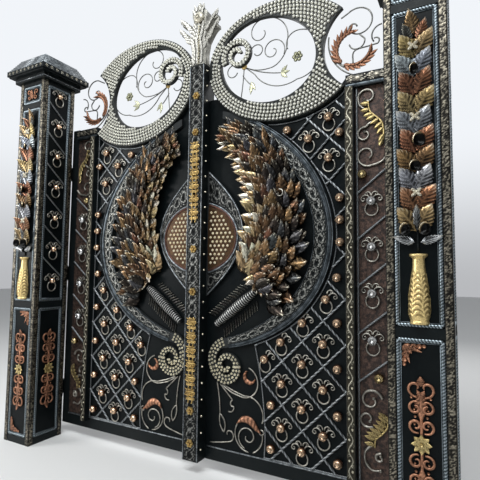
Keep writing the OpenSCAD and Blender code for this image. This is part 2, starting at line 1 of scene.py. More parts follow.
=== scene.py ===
"""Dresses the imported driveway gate.

Lengths in the helpers are millimetres, measured like the gate itself: x from the middle of the opening,
y inwards from the front plane of the leaves, z up from the ground. Leaves and piers are drawn for the right
half and mirrored for the left one. The mullion and its finial are drawn whole.
"""
import math
import bpy
import numpy as np
from mathutils import Matrix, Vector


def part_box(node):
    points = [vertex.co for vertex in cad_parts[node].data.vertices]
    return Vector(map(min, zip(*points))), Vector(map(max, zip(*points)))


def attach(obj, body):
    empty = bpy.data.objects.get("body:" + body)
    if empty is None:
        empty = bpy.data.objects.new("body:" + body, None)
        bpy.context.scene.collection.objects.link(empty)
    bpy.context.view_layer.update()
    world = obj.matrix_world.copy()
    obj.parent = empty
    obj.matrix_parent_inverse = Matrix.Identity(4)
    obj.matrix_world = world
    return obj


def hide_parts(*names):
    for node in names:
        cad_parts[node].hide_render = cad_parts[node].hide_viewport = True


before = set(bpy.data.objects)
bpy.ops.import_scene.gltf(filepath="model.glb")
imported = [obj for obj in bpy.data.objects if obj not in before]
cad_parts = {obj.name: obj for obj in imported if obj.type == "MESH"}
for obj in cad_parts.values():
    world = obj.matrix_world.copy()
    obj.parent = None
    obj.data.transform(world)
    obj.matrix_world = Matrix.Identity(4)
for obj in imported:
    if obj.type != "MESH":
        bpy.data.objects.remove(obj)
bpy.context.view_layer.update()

MIDDLE_X = sum(corner.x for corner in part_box("mullion")) / 2
LEAF_FACE_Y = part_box("right_back_sheet")[0].y
SIDES = {"left": -1, "right": 1}


# Shading: a socket that can be added and multiplied, and one method that adds any node

class Tone:
    """A number inside a material. Sums and products of tones become Math nodes."""

    def __init__(self, shade, socket):
        self.shade = shade
        self.socket = socket

    def op(self, operation, *values, clamp=False):
        settings = {"operation": operation, "use_clamp": clamp}
        return self.shade.tone("ShaderNodeMath", settings, dict(enumerate(values)))

    def __add__(self, other):
        return self.op("ADD", self, other)

    def __radd__(self, other):
        return self.op("ADD", other, self)

    def __sub__(self, other):
        return self.op("SUBTRACT", self, other)

    def __rsub__(self, other):
        return self.op("SUBTRACT", other, self)

    def __mul__(self, other):
        return self.op("MULTIPLY", self, other)

    def __rmul__(self, other):
        return self.op("MULTIPLY", other, self)

    def clamped(self):
        return self.op("ADD", self, 0.0, clamp=True)


class Shade:
    """The node tree of one finish."""

    def __init__(self, name):
        self.finish = bpy.data.materials.new(name)
        self.finish.use_nodes = True
        self.nodes = self.finish.node_tree.nodes
        self.links = self.finish.node_tree.links
        self.nodes.clear()

    def add(self, kind, settings=None, values=None):
        node = self.nodes.new(kind)
        for key, value in (settings or {}).items():
            setattr(node, key, value)
        for key, value in (values or {}).items():
            if isinstance(value, Tone):
                value = value.socket
            if isinstance(value, bpy.types.NodeSocket):
                self.links.new(value, node.inputs[key])
            elif value is not None:
                node.inputs[key].default_value = value
        return node

    def tone(self, kind, settings=None, values=None):
        return Tone(self, self.add(kind, settings, values).outputs[0])

    def noise(self, scale, detail=3.0, rough=0.55):
        place = self.add("ShaderNodeTexCoord").outputs["Object"]
        values = {"Vector": place, "Scale": scale, "Detail": detail, "Roughness": rough}
        return self.tone("ShaderNodeTexNoise", None, values)

    def ease(self, tone, low, high, to_low=0.0, to_high=1.0):
        """Maps low..high smoothly to to_low..to_high."""
        settings = {"interpolation_type": "SMOOTHSTEP"}
        values = {"Value": tone, "From Min": low, "From Max": high, "To Min": to_low, "To Max": to_high}
        return self.tone("ShaderNodeMapRange", settings, values)

    def mix(self, share, low, high):
        """Colour between low and high."""
        low, high = [(*c, 1.0) if isinstance(c, tuple) else c for c in (low, high)]
        return self.add("ShaderNodeMix", {"data_type": "RGBA"}, {0: share, 6: low, 7: high}).outputs[2]

    def given(self, name, output="Fac"):
        """A value or colour that the mesh carries."""
        return self.add("ShaderNodeAttribute", {"attribute_name": name}).outputs[output]

    def bump(self, height, depth, strength):
        values = {"Strength": strength, "Distance": depth, "Height": height}
        return self.add("ShaderNodeBump", None, values).outputs[0]

    def close(self, colour, metallic, roughness, normal=None, **fixed):
        values = {"Base Color": (*colour, 1.0) if isinstance(colour, tuple) else colour,
                  "Metallic": metallic, "Roughness": roughness, "Normal": normal}
        values.update({key.replace("_", " "): value for key, value in fixed.items()})
        surface = self.add("ShaderNodeBsdfPrincipled", None, values)
        self.add("ShaderNodeOutputMaterial", None, {"Surface": surface.outputs[0]})
        return self.finish


def dark_enamel(name="dark_enamel", colour=(0.0045, 0.0068, 0.0075), dust=0.035, gloss=0.13):
    """Blue-black enamel: faint brush streaks, a film of dust, and small dents."""
    s = Shade(name)
    cloud = s.ease(s.noise(3.2, 5.0), 0.42, 0.72)
    speck = s.ease(s.noise(90.0, 2.0), 0.55, 0.75)
    film = (cloud * 0.7 + speck * 0.5) * dust
    base = s.mix(film.clamped(), colour, (0.20, 0.21, 0.19))
    rough = s.ease(s.noise(14.0, 4.0), 0.3, 0.7, 0.30, 0.46)
    dents = s.noise(6.0, 2.0) * 0.6 + s.noise(120.0, 2.0) * 0.05
    return s.close(base, 0.0, rough, s.bump(dents, 0.006, 0.35), Specular_IOR_Level=gloss)


def brushed_relief(name, low, high, from_rise=0.25, to_rise=0.75):
    """Dark paint with metal colour brushed over whatever stands up.

    The mesh carries rise, 0 in the ground of a pattern and 1 on its crests. A slow noise shifts it a little,
    so that no two crests are brushed alike.
    """
    s = Shade(name)
    rise = Tone(s, s.given("rise"))
    patch = s.noise(9.0, 4.0)
    grit = s.noise(160.0, 3.0)
    share = s.ease(rise + (patch - 0.5) * 0.35, from_rise, to_rise)
    wear = s.ease(grit, 0.34, 0.62, 0.55, 1.0)
    colour = s.mix((share * wear).clamped(), low, high)
    rough = s.ease(grit, 0.3, 0.7, 0.30, 0.52)
    return s.close(colour, 0.85, rough, s.bump(grit, 0.0012, 0.5))


def metal_paint(name, colour, second, metallic=0.9, low_rough=0.26, high_rough=0.46, scale=24.0):
    """Metallic paint that drifts between two tones, with fine grit in its gloss."""
    s = Shade(name)
    drift = s.ease(s.noise(scale, 4.0), 0.36, 0.66)
    grit = s.noise(220.0, 2.0)
    base = s.mix(drift, colour, second)
    rough = s.ease(grit, 0.3, 0.7, low_rough, high_rough)
    return s.close(base, metallic, rough, s.bump(grit, 0.0008, 0.4))


def polished_with_painted_light(name, rim, crown, metallic=0.9, from_rise=0.42, to_rise=0.98):
    """Smooth metal with a painted highlight on its crown and painted shade at its rim: the mesh carries rise,
    1 on the crown and 0 at the seat.
    """
    s = Shade(name)
    cloud = s.noise(60.0, 3.0)
    # share runs from the painted shade at the rim to the painted highlight on the crown
    share = s.ease(Tone(s, s.given("rise")) + (cloud - 0.5) * 0.08, from_rise, to_rise)
    rough = s.ease(cloud, 0.3, 0.7, 0.20, 0.30)
    return s.close(s.mix(share, rim, crown), metallic, rough, s.bump(cloud, 0.0004, 0.2))


def leaf_paint():
    """Each leaf carries its own tint, near black in its creases and on its back as painted shade, and pale
    gold on crests and tips, partly brushed gold and partly a painted highlight.
    """
    s = Shade("leaf_paint")
    tint = s.given("tint", "Color")
    rise = Tone(s, s.given("rise"))
    cloud = s.noise(30.0, 4.0)
    grit = s.noise(240.0, 2.0)
    # crest sets painted shade in the creases and on the back, the leaf's tint elsewhere
    crest = s.ease(rise + (cloud - 0.5) * 0.5, 0.15, 0.80)
    painted_crease_shade = s.mix(crest, (0.006, 0.006, 0.006), tint)
    # pale gold on crests and tips: partly brushed gold, partly a painted highlight
    gilt_and_painted_highlight = s.ease(rise + (grit - 0.5) * 0.3, 0.66, 1.0)
    warm = s.mix(0.6, tint, (0.90, 0.84, 0.68))
    colour = s.mix(gilt_and_painted_highlight * 0.8, painted_crease_shade, warm)
    rough = s.ease(grit, 0.3, 0.7, 0.22, 0.38)
    return s.close(colour, 0.92, rough, s.bump(cloud, 0.002, 0.4))


def rusty_sheet():
    """Sponged brown paint over dark ground."""
    s = Shade("rusty_sheet")
    blots = s.ease(s.noise(38.0, 6.0, 0.7), 0.40, 0.62)
    fine = s.ease(s.noise(150.0, 3.0), 0.42, 0.66)
    under = s.mix(fine, (0.012, 0.009, 0.008), (0.035, 0.020, 0.015))
    over = s.mix(fine, (0.065, 0.036, 0.026), (0.13, 0.080, 0.062))
    base = s.mix(blots, under, over)
    return s.close(base, 0.45, s.ease(fine, 0.0, 1.0, 0.42, 0.62), s.bump(fine, 0.001, 0.6))


DARK = dark_enamel()
PANEL = dark_enamel("panel_enamel", (0.0028, 0.0044, 0.0050), 0.02, 0.08)
DIM_SILVER = brushed_relief("dim_silver", (0.007, 0.008, 0.008), (0.30, 0.30, 0.28), 0.42, 1.0)
SAND_SILVER = brushed_relief("sand_silver_over_black", (0.010, 0.011, 0.011), (0.46, 0.42, 0.34), 0.20, 0.80)
COPPER_LEAF = brushed_relief("copper_leaf", (0.030, 0.014, 0.010), (0.55, 0.27, 0.16), 0.20, 0.80)
GOLD_LEAF = brushed_relief("gold_leaf", (0.050, 0.038, 0.016), (0.74, 0.58, 0.26), 0.15, 0.75)
PALE_LEAF = brushed_relief("pale_leaf", (0.10, 0.10, 0.07), (0.58, 0.58, 0.40), 0.20, 0.80)
HORN_SILVER = brushed_relief("horn_silver", (0.008, 0.009, 0.010), (0.50, 0.50, 0.48), 0.35, 0.90)
PEARL = metal_paint("champagne_pearl", (0.84, 0.78, 0.60), (0.66, 0.61, 0.46), 0.6, 0.18, 0.30)
# Ring pearls: a painted highlight on each pearl's front and painted shade at its rim
RING_PEARL = polished_with_painted_light("ring_pearl", (0.13, 0.13, 0.11), (0.96, 0.95, 0.86), 0.5, 0.24, 0.84)
OLIVE_SILVER = brushed_relief("olive_silver", (0.032, 0.029, 0.021), (0.52, 0.49, 0.39), 0.15, 0.90)
AGED_SILVER = metal_paint("aged_silver", (0.34, 0.33, 0.29), (0.16, 0.155, 0.135), 0.8, 0.30, 0.45, 40.0)
PEARL_GROUND = dark_enamel("ring_ground", (0.014, 0.016, 0.015), 0.08)
COPPER = metal_paint("copper_paint", (0.50, 0.23, 0.14), (0.30, 0.12, 0.07))
# Balls: a painted highlight on each ball's front and painted shade towards its rim
COPPER_BALL = polished_with_painted_light("pink_copper", (0.15, 0.060, 0.030), (0.98, 0.69, 0.46), 0.8, 0.30, 0.88)
SILVER_BALL = polished_with_painted_light("silver_ball", (0.16, 0.16, 0.16), (0.95, 0.95, 0.94), 0.8, 0.30, 0.88)
GOLD_BALL = polished_with_painted_light("gold_ball", (0.16, 0.09, 0.03), (0.86, 0.68, 0.34))
GOLD = metal_paint("gold_paint", (0.60, 0.43, 0.17), (0.40, 0.27, 0.10))
DISC_GOLD = metal_paint("disc_gold", (0.070, 0.034, 0.012), (0.032, 0.016, 0.007), 0.7, 0.40, 0.55, 60.0)
DOT_GOLD = metal_paint("dot_gold", (0.97, 0.88, 0.66), (0.90, 0.78, 0.52), 0.3, 0.2, 0.3)
BROWN_LINE = metal_paint("brown_line", (0.09, 0.035, 0.022), (0.045, 0.018, 0.013), 0.6)
BUD = metal_paint("bud_white", (0.72, 0.68, 0.56), (0.52, 0.47, 0.36), 0.6)
WIRE = metal_paint("grey_silver", (0.42, 0.40, 0.35), (0.20, 0.19, 0.165))
DARK_WIRE = metal_paint("dark_wire", (0.14, 0.14, 0.13), (0.07, 0.07, 0.065), 0.8)
BAR = metal_paint("twisted_bar_silver", (0.26, 0.28, 0.29), (0.09, 0.10, 0.11), scale=40.0)
PLAIN = metal_paint("blue_silver_strip", (0.075, 0.088, 0.098), (0.020, 0.026, 0.030), 0.85, 0.28, 0.42, 22.0)
TWIST = brushed_relief("twisted_bars", (0.050, 0.056, 0.060), (0.36, 0.38, 0.39), 0.15, 0.95)
ARC_SILVER = brushed_relief("arc_silver", (0.010, 0.012, 0.012), (0.38, 0.38, 0.35), 0.35, 1.0)
PALE_SILVER = brushed_relief("pale_silver", (0.10, 0.10, 0.09), (0.68, 0.66, 0.60), 0.10, 0.75)
GRAIN_SILVER = brushed_relief("grain_silver", (0.014, 0.013, 0.011), (0.34, 0.305, 0.235), 0.20, 0.90)
ROPE = brushed_relief("blue_silver_rope", (0.020, 0.028, 0.032), (0.42, 0.49, 0.53), 0.30, 0.95)
VASE_GOLD = brushed_relief("vase_gold", (0.11, 0.062, 0.018), (0.86, 0.66, 0.30), 0.05, 0.75)
LEAF = leaf_paint()
RUST = rusty_sheet()
ARC_GROUND = dark_enamel("arc_ground", (0.016, 0.018, 0.019), 0.08)
STEEL = metal_paint("greased_steel", (0.20, 0.20, 0.19), (0.08, 0.08, 0.08))

FINISHES = {
    "pier_frame": DARK, "pier_panels": PANEL, "pier_trim": BAR, "cap": DARK, "garland": COPPER, "vase": GOLD,
    "filigrees": COPPER, "hinge_pins": STEEL, "leaf_frame": DARK, "back_sheet": PANEL, "side_sheet": RUST,
    "arc_band": ARC_GROUND, "crown_ring": PEARL_GROUND, "crown_scrolls": WIRE, "lattice": BAR,
    "knob_rings": COPPER, "side_scrolls": WIRE, "leaf_spray": GOLD, "coil_stem": BAR, "medallion": ARC_GROUND,
    "lower_scrolls": WIRE, "mullion": DARK, "mullion_ornaments": GOLD, "finial": AGED_SILVER,
}
for name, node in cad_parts.items():
    finish = FINISHES[name.replace("left_", "").replace("right_", "")]
    node.data.materials.clear()
    node.data.materials.append(finish)


# Forms: arrays of points in gate millimetres

class Form:
    """Points, faces, and for every point its rise in the pattern (0 ground, 1 crest) and its tint."""

    def __init__(self, points, faces, rise=0.5, tint=(0.5, 0.5, 0.5)):
        self.points = points.reshape(-1, 3)
        self.faces = faces
        self.rise = np.asarray(rise, float)
        if self.rise.shape != (len(self.points),):
            self.rise = np.broadcast_to(self.rise, points.shape[:-1]).reshape(-1)
        self.tint = np.broadcast_to(tint, self.points.shape)

    def stamped(self, places, turns=0.0, sizes=1.0, tints=None, tips=0.0):
        """Copies at places.

        They are sized along x, y, z, tipped out of the gate's plane, then turned in it, in degrees from +x
        towards +z.
        """
        places = np.atleast_2d(np.asarray(places, float))
        count = len(places)
        sizes = np.broadcast_to(np.asarray(sizes, float), (count, 3))
        spots = self.points[None] * sizes[:, None]
        for angle, axis, way in ((tips, 1, -1), (turns, 2, 1)):
            angle = np.radians(np.broadcast_to(angle, count))[:, None]
            c, d = np.cos(angle), np.sin(angle) * way
            spots[..., 0], spots[..., axis] = (spots[..., 0] * c - spots[..., axis] * d,
                                               spots[..., 0] * d + spots[..., axis] * c)
        spots = spots + places[:, None]
        shift = np.arange(count)[:, None, None] * len(self.points)
        faces = [(group[None] + shift).reshape(-1, group.shape[1]) for group in self.faces]
        if tints is None:
            tint = np.tile(self.tint, (count, 1))
        else:
            tint = np.repeat(np.asarray(tints, float), len(self.points), axis=0)
        return Form(spots, faces, np.tile(self.rise, count), tint)

    def facing(self, out=None):
        """Faces turned to the direction out, or outwards where the form is closed."""
        corners = [self.points[group] for group in self.faces]
        if out is None:
            middle = self.points.mean(axis=0)
            total = 0.0
            for c in corners:
                arms = c - middle
                for k in range(1, c.shape[1] - 1):
                    total += np.einsum("ij,ij->", arms[:, 0], np.cross(arms[:, k], arms[:, k + 1]))
        else:
            total = sum((np.cross(c[:, 1] - c[:, 0], c[:, 2] - c[:, 0]) @ np.array(out)).sum()
                        for c in corners)
        if total < 0:
            self.faces = [group[:, ::-1] for group in self.faces]
        return self


def joined(forms):
    """One form from several."""
    faces, start = [], 0
    for form in forms:
        faces += [group + start for group in form.faces]
        start += len(form.points)
    return Form(np.concatenate([form.points for form in forms]), faces,
                np.concatenate([form.rise for form in forms]),
                np.concatenate([form.tint for form in forms]))


def quads(index):
    """Four cornered faces between the neighbours in a grid of point numbers."""
    return np.stack([index[:-1, :-1], index[:-1, 1:], index[1:, 1:], index[1:, :-1]], -1).reshape(-1, 4)


def sheet(points, rise, wrap=False, caps=False, out=(0.0, -1.0, 0.0)):
    """Quads over rows and columns of points.

    wrap joins the last column to the first, caps closes both ends.
    """
    rows, columns = points.shape[:2]
    index = np.arange(rows * columns).reshape(rows, columns)
    if wrap:
        index = np.hstack([index, index[:, :1]])
    faces = [quads(index)]
    rise = np.broadcast_to(rise, (rows, columns)).reshape(-1)
    flat = points.reshape(-1, 3)
    if caps:
        for row, pole, order in ((0, len(flat), 1), (-1, len(flat) + 1, -1)):
            ring = index[row]
            fan = np.stack([np.full(len(ring) - 1, pole), ring[1:], ring[:-1]], -1)
            faces.append(fan[:, ::order])
        flat = np.concatenate([flat, points[[0, -1]].mean(axis=1)])
        rise = np.append(rise, [rise[0], rise[-1]])
    return Form(flat, faces, rise).facing(out)


def publish(name, layers, body, hides=(), sides=("left", "right")):
    """Writes the layers, each a form and its finish, as one piece on each side of the gate.

    What lies on a leaf's sheet ends inside the sheet, so nothing shows at the back.
    """
    for side in sides:
        sign = SIDES[side]
        mesh = bpy.data.meshes.new(f"{side}_{name}" if len(sides) == 2 else name)
        whole = joined([form for form, _ in layers])
        if body == "leaf":
            over_sheet = whole.points[:, 2] < TOP_RAIL
            whole.points[over_sheet, 1] = np.minimum(whole.points[over_sheet, 1], SEAT_DEPTH)
        points = whole.points * (sign / 1000, 0.001, 0.001) + (MIDDLE_X, LEAF_FACE_Y, 0.0)
        faces = [row for group in whole.faces for row in (group if sign > 0 else group[:, ::-1]).tolist()]
        mesh.from_pydata(points.tolist(), [], faces)
        finishes, owner = [], []
        for form, finish in layers:
            if finish not in finishes:
                finishes.append(finish)
                mesh.materials.append(finish)
            owner += [finishes.index(finish)] * sum(len(group) for group in form.faces)
        mesh.polygons.foreach_set("material_index", owner)
        mesh.polygons.foreach_set("use_smooth", [True] * len(faces))
        mesh.attributes.new("rise", "FLOAT", "POINT").data.foreach_set("value", whole.rise.astype(np.float32))
        paint = np.hstack([whole.tint, np.ones((len(whole.tint), 1))]).astype(np.float32)
        mesh.attributes.new("tint", "FLOAT_COLOR", "POINT").data.foreach_set("color", paint.ravel())
        mesh.update()
        piece = bpy.data.objects.new(mesh.name, mesh)
        bpy.context.scene.collection.objects.link(piece)
        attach(piece, f"{side}_{body}" if body == "leaf" else body)
        for node in hides:
            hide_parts(f"{side}_{node}" if len(sides) == 2 else node)


# Curves in the gate's plane, as rows of x and z

def oval_point(oval, grow, degrees):
    """Point of an oval whose half axes are grown: (a cos t, b sin t), tilted about its centre."""
    (x, z), (a, b), tilt = oval
    t = np.radians(degrees)
    c, d = math.cos(math.radians(tilt)), math.sin(math.radians(tilt))
    across, up = (a + grow) * np.cos(t), (b + grow) * np.sin(t)
    return np.stack([x + across * c - up * d, z + across * d + up * c], -1)


def oval_level(oval, grow, points):
    """Below 1 inside the oval, above 1 outside."""
    (x, z), (a, b), tilt = oval
    c, d = math.cos(math.radians(tilt)), math.sin(math.radians(tilt))
    px, pz = points[..., 0] - x, points[..., 1] - z
    return ((px * c + pz * d) / (a + grow)) ** 2 + ((pz * c - px * d) / (b + grow)) ** 2


def polar(centre, radius, degrees):
    """Points at a distance and a direction from a centre."""
    a = np.radians(degrees)
    return np.stack([centre[0] + radius * np.cos(a), centre[1] + radius * np.sin(a)], -1)


def spiral(centre, radius0, radius1, angle0, angle1, step=10.0):
    """Arc or spiral: radius and angle both run evenly from their first to their last value."""
    length = abs(math.radians(angle1 - angle0)) * (radius0 + radius1) / 2
    t = np.linspace(0, 1, max(6, int(length / step)))
    return polar(centre, radius0 + (radius1 - radius0) * t, angle0 + (angle1 - angle0) * t)


def mirrored_spiral(side, centre, radius0, radius1, angle0, angle1, step=10.0):
    """A spiral as it is drawn on the right, side 1, or with its angles mirrored on the left, side -1."""
    if side < 0:
        angle0, angle1 = 180 - angle0, 180 - angle1
    return spiral(centre, radius0, radius1, angle0, angle1, step)


def link(p, q, bend, count=14):
    """A bowed line: its middle stands bend / 2 off the straight line, to the left of the way from p to q."""
    p, q = np.array(p, float), np.array(q, float)
    d = q - p
    m = (p + q) / 2 + bend * np.array([-d[1], d[0]]) / np.linalg.norm(d)
    t = np.linspace(0, 1, count)[:, None]
    return p * (1 - t) ** 2 + m * 2 * t * (1 - t) + q * t ** 2


def smooth(points, count=7):
    """Curve that runs through all the points, each stretch a cubic set by its two neighbours."""
    p = np.array(points, float)
    p = np.concatenate([2 * p[:1] - p[1:2], p, 2 * p[-1:] - p[-2:-1]])
    t = np.linspace(0, 1, count, endpoint=False)[None, :, None]
    a, b, c, d = [p[k:len(p) - 3 + k][:, None] for k in range(4)]
    curve = b + 0.5 * ((c - a) * t + (2 * a - 5 * b + 4 * c - d) * t ** 2 + (3 * b - a - 3 * c + d) * t ** 3)
    return np.concatenate([curve.reshape(-1, 2), p[-2:-1]])


def chain(*stretches):
    """One run made of stretches that follow each other."""
    return np.concatenate([np.array(stretch, float).reshape(-1, 2) for stretch in stretches])


def lengths(path):
    """Length run so far at each point of a path."""
    return np.concatenate([[0.0], np.cumsum(np.linalg.norm(np.diff(path, axis=0), axis=1))])


def even(path, step):
    """The same path with points about a step apart."""
    run = lengths(path)
    at = np.linspace(0, run[-1], max(3, int(run[-1] / step) + 1))
    return np.stack([np.interp(at, run, path[:, k]) for k in range(path.shape[1])], -1)


def normals(path):
    """Unit normals to the left of a path."""
    d = np.gradient(path, axis=0)
    return np.stack([-d[:, 1], d[:, 0]], -1) / np.linalg.norm(d, axis=1)[:, None]


def upright(x, heights):
    """A path straight up at x through the given heights."""
    return np.stack([np.full(len(heights), x), heights], -1)


def placed(path, y):
    """Points of the gate's plane, given as x and z, set at the depth y."""
    return np.stack([path[..., 0], np.broadcast_to(y, path.shape[:-1]), path[..., 1]], -1)


def tube(path, radius, depth_y, sides=8, lobes=0, pitch=60.0, cut=0.0, flat=1.0):
    """Bar along a path: radius * (1 + cut * cos(lobes * (angle - 2 pi * length / pitch))).

    It twists when lobes is not 0. flat squeezes it towards the sheet.
    """
    n = normals(path)
    run = lengths(path)[:, None]
    a = np.linspace(0, 2 * np.pi, sides, endpoint=False)[None]
    wave = np.cos(lobes * (a - 2 * np.pi * run / pitch)) if lobes else np.zeros_like(run * a)
    r = np.broadcast_to(np.asarray(radius, float).reshape(-1, 1), (len(path), 1)) * (1 + cut * wave)
    y = np.broadcast_to(np.asarray(depth_y, float).reshape(-1, 1), (len(path), 1))
    points = np.stack([path[:, :1] + r * np.cos(a) * n[:, :1], y - r * np.sin(a) * flat,
                       path[:, 1:] + r * np.cos(a) * n[:, 1:]], -1)
    return sheet(points, 0.6 + 0.4 * wave, wrap=True, caps=True, out=None)


def round_form(rings, around, half=False):
    """Unit ball, or its front half: sin(p) cos(a), -cos(p), sin(p) sin(a)."""
    p = np.linspace(0.0, np.pi / 2 if half else np.pi, rings + 1)[1:None if half else -1, None]
    a = np.linspace(0, 2 * np.pi, around, endpoint=False)[None]
    points = np.stack([np.sin(p) * np.cos(a), -np.cos(p) + 0 * a, np.sin(p) * np.sin(a)], -1)
    index = np.arange(len(p) * around).reshape(len(p), around)
    index = np.hstack([index, index[:, :1]])
    flat = points.reshape(-1, 3)
    n = len(flat)
    poles = [[0.0, -1.0, 0.0]]
    fans = [np.stack([np.full(around, n), index[0, :-1], index[0, 1:]], -1)]
    if not half:
        poles.append([0.0, 1.0, 0.0])
        fans.append(np.stack([np.full(around, n + 1), index[-1, 1:], index[-1, :-1]], -1))
    form = Form(np.concatenate([flat, poles]), [quads(index), *fans], 0.8)
    # rise is 1 on the side that faces the front and falls towards the rim: finishes that read it paint a
    # highlight on the front and shade round the rim
    form.rise = np.clip(0.15 - form.points[:, 1] * 0.85, 0.0, 1.0)
    return form.facing((0.0, -1.0, 0.0) if half else None)


BALL = round_form(8, 14)
SMALL_BALL = round_form(5, 9)
PEARL_DOME = round_form(3, 7, half=True)


def leaf_form(teeth, across=7, cup=0.16, curve=0.20, notch=0.42):
    """Toothed blade 1 long and 1 wide, closed all round.

    Half width = envelope(u) * (1 - notch * (1 - saw)), saw climbing from 0 to 1 along each tooth. Teeth are
    swept forwards by 0.09 |v| saw. Height = cup * (1 - v^2) + curve * u^2 + midrib + side veins.
    """
    rows = teeth * 4 + 1
    u = np.linspace(0.0, 1.0, rows)[:, None]
    v = np.concatenate([np.linspace(-1, 1, across), np.linspace(0.86, -0.86, 3)])[None]
    behind = np.concatenate([np.zeros(across), np.ones(3)])[None]
    saw = np.where(u > 0.999, 0.0, (u * teeth) % 1.0)
    envelope = 0.5 * (0.16 + 0.84 * np.sin(np.pi * np.clip(u, 0, 1) ** 0.72)) * (1 - 0.55 * u ** 3)
    wide = envelope * (1 - notch * (1 - saw)) * np.where(u > 0.999, 0.12, 1.0)
    lean = 0.09 * np.abs(v) * saw
    vein = np.cos(2 * np.pi * (u * teeth - 0.75 * np.abs(v) + 0.15)) * np.abs(v) ** 0.7
    midrib = np.exp(-(v / 0.13) ** 2)
    height = cup * (1 - v ** 2) + curve * u ** 2 + 0.05 * vein + 0.06 * midrib - 0.07 * behind
    points = np.stack([(u + lean * (1 - behind)) * 0.97, -height + 0 * u, wide * v], -1)
    # rise drops by 0.5 on the leaf's back, so the back is painted as shade
    rise = np.clip(0.42 + 0.34 * vein + 0.45 * midrib + 0.35 * u - 0.5 * behind, 0.0, 1.0)
    return sheet(points, rise, wrap=True, caps=True, out=None)


def shell_leaf(ribs=7, across=13, rows=25, bend=0.0):
    """Broad smooth leaf 1 long and 1 wide that runs out in a point, closed all round.

    Half width = 0.5 sin(pi u^0.66)^0.8, a little fuller at the stalk, nicked by 0.12 between the ribs.
    Ribs = (0.5 + 0.5 cos 2 pi (ribs u - 1.5 |v|))^2.5 sweep forwards from the midrib, which swings sideways
    by bend u^2.5. Height = 0.20 (1 - v^2) (1 - 0.5 u) + 0.34 u^3 + 0.07 ribs + midrib: the tip curls off the
    panel.
    """
    u = np.linspace(0.0, 1.0, rows)[:, None]
    v = np.concatenate([np.linspace(-1, 1, across), np.linspace(0.86, -0.86, 3)])[None]
    behind = np.concatenate([np.zeros(across), np.ones(3)])[None]
    wide = 0.5 * np.clip(np.sin(np.pi * u ** 0.66), 0, 1) ** 0.8 + 0.10 * (1 - u) ** 2 + 0.012
    edge = np.abs((u * ribs) % 1.0 - 0.5) * 2
    wide = wide * (1 - 0.12 * edge * (u < 0.98))
    rib = (0.5 + 0.5 * np.cos(2 * np.pi * (ribs * u - 1.5 * np.abs(v)))) ** 2.5 * np.abs(v) ** 0.5
    midrib = np.exp(-(v / 0.11) ** 2)
    height = 0.20 * (1 - v ** 2) * (1 - 0.5 * u) + 0.34 * u ** 3
    height = height + 0.07 * rib * (1 - u ** 4) + 0.04 * midrib - 0.07 * behind
    points = np.stack([u + 0.08 * np.abs(v) * (1 - u), -height + 0 * u, wide * v + bend * u ** 2.5], -1)
    # rise drops by 0.5 on the leaf's back, so the back is painted as shade
    rise = np.clip(0.24 + 0.62 * rib + 0.26 * midrib + 0.60 * u ** 4 - 0.5 * behind, 0.0, 1.0)
    return sheet(points, rise, wrap=True, caps=True, out=None)


# Patterns: height 0..1 over s along a band and t across it (-1..1)

def running_vine(s, t, pitch, half):
    """Wavy stem with a scroll and a flower in every bay and leaf lobes around it, in turn to either side."""
    bay = np.floor(s / pitch)
    flip = np.where(bay % 2 == 0, 1.0, -1.0)
    u = (s / pitch - bay - 0.5) * pitch / half
    w = t * flip + 0.10
    stem = np.exp(-((t - 0.66 * np.sin(np.pi * s / pitch)) / 0.11) ** 2)
    r, a = np.hypot(u, w), np.arctan2(w, u)
    turn = 0.5 + 0.5 * np.cos(2 * np.pi * (r / 0.34) - a)
    scroll = turn * np.clip((0.62 - r) / 0.10, 0, 1) * np.clip((r - 0.16) / 0.05, 0, 1)
    flower = np.clip(1 - (r / 0.20) ** 2, 0, 1) ** 0.5 * (0.75 + 0.25 * np.cos(6 * a))
    belt = np.clip((r - 0.56) / 0.1, 0, 1) * np.clip((1.15 - r) / 0.2, 0, 1)
    lobes = np.clip(np.cos(9 * a + 5 * r), 0, 1) * belt
    return np.clip(np.maximum.reduce([stem * 0.9, scroll, flower, lobes * 0.85]), 0, 1)


def dense_vine(s, t, pitch):
    """Close scrollwork that leaves little ground.

    Two stems cross over in every bay, with curls on either side of them and a small flower where they cross.
    """
    u = s / pitch
    stems = [np.exp(-((t - 0.55 * f * np.sin(np.pi * u)) / 0.10) ** 2) for f in (-1, 1)]
    bay = u - np.floor(u) - 0.5
    r, a = np.hypot(bay * 2.0, t), np.arctan2(t, bay * 2.0)
    swirl = np.cos(2 * np.pi * (r / 0.36) - a) * np.cos(4 * a + 5 * r)
    curls = np.clip(0.5 + 0.9 * swirl, 0, 1) * np.clip((r - 0.26) / 0.1, 0, 1)
    edge = u - np.round(u)
    q, b = np.hypot(edge * 2.6, t), np.arctan2(t, edge * 2.6)
    flower = np.clip(1 - (q / 0.30) ** 2, 0, 1) ** 0.5 * (0.7 + 0.3 * np.cos(5 * b))
    return np.clip(np.maximum.reduce([stems[0] * 0.9, stems[1] * 0.9, curls * 0.8, flower]), 0, 1)


def vine_of(pitch):
    """The dense vine of one pitch, as a pattern for a band."""
    def pattern(s, t, half):
        return dense_vine(s, t, pitch)
    return pattern


def rounded(s, t, half):
    """A bar with rounded edges."""
    return np.clip(1.2 - t * t, 0, 1)


def plain_strip(s, t, half):
    """A flat strip."""
    return 0.8 + 0 * t


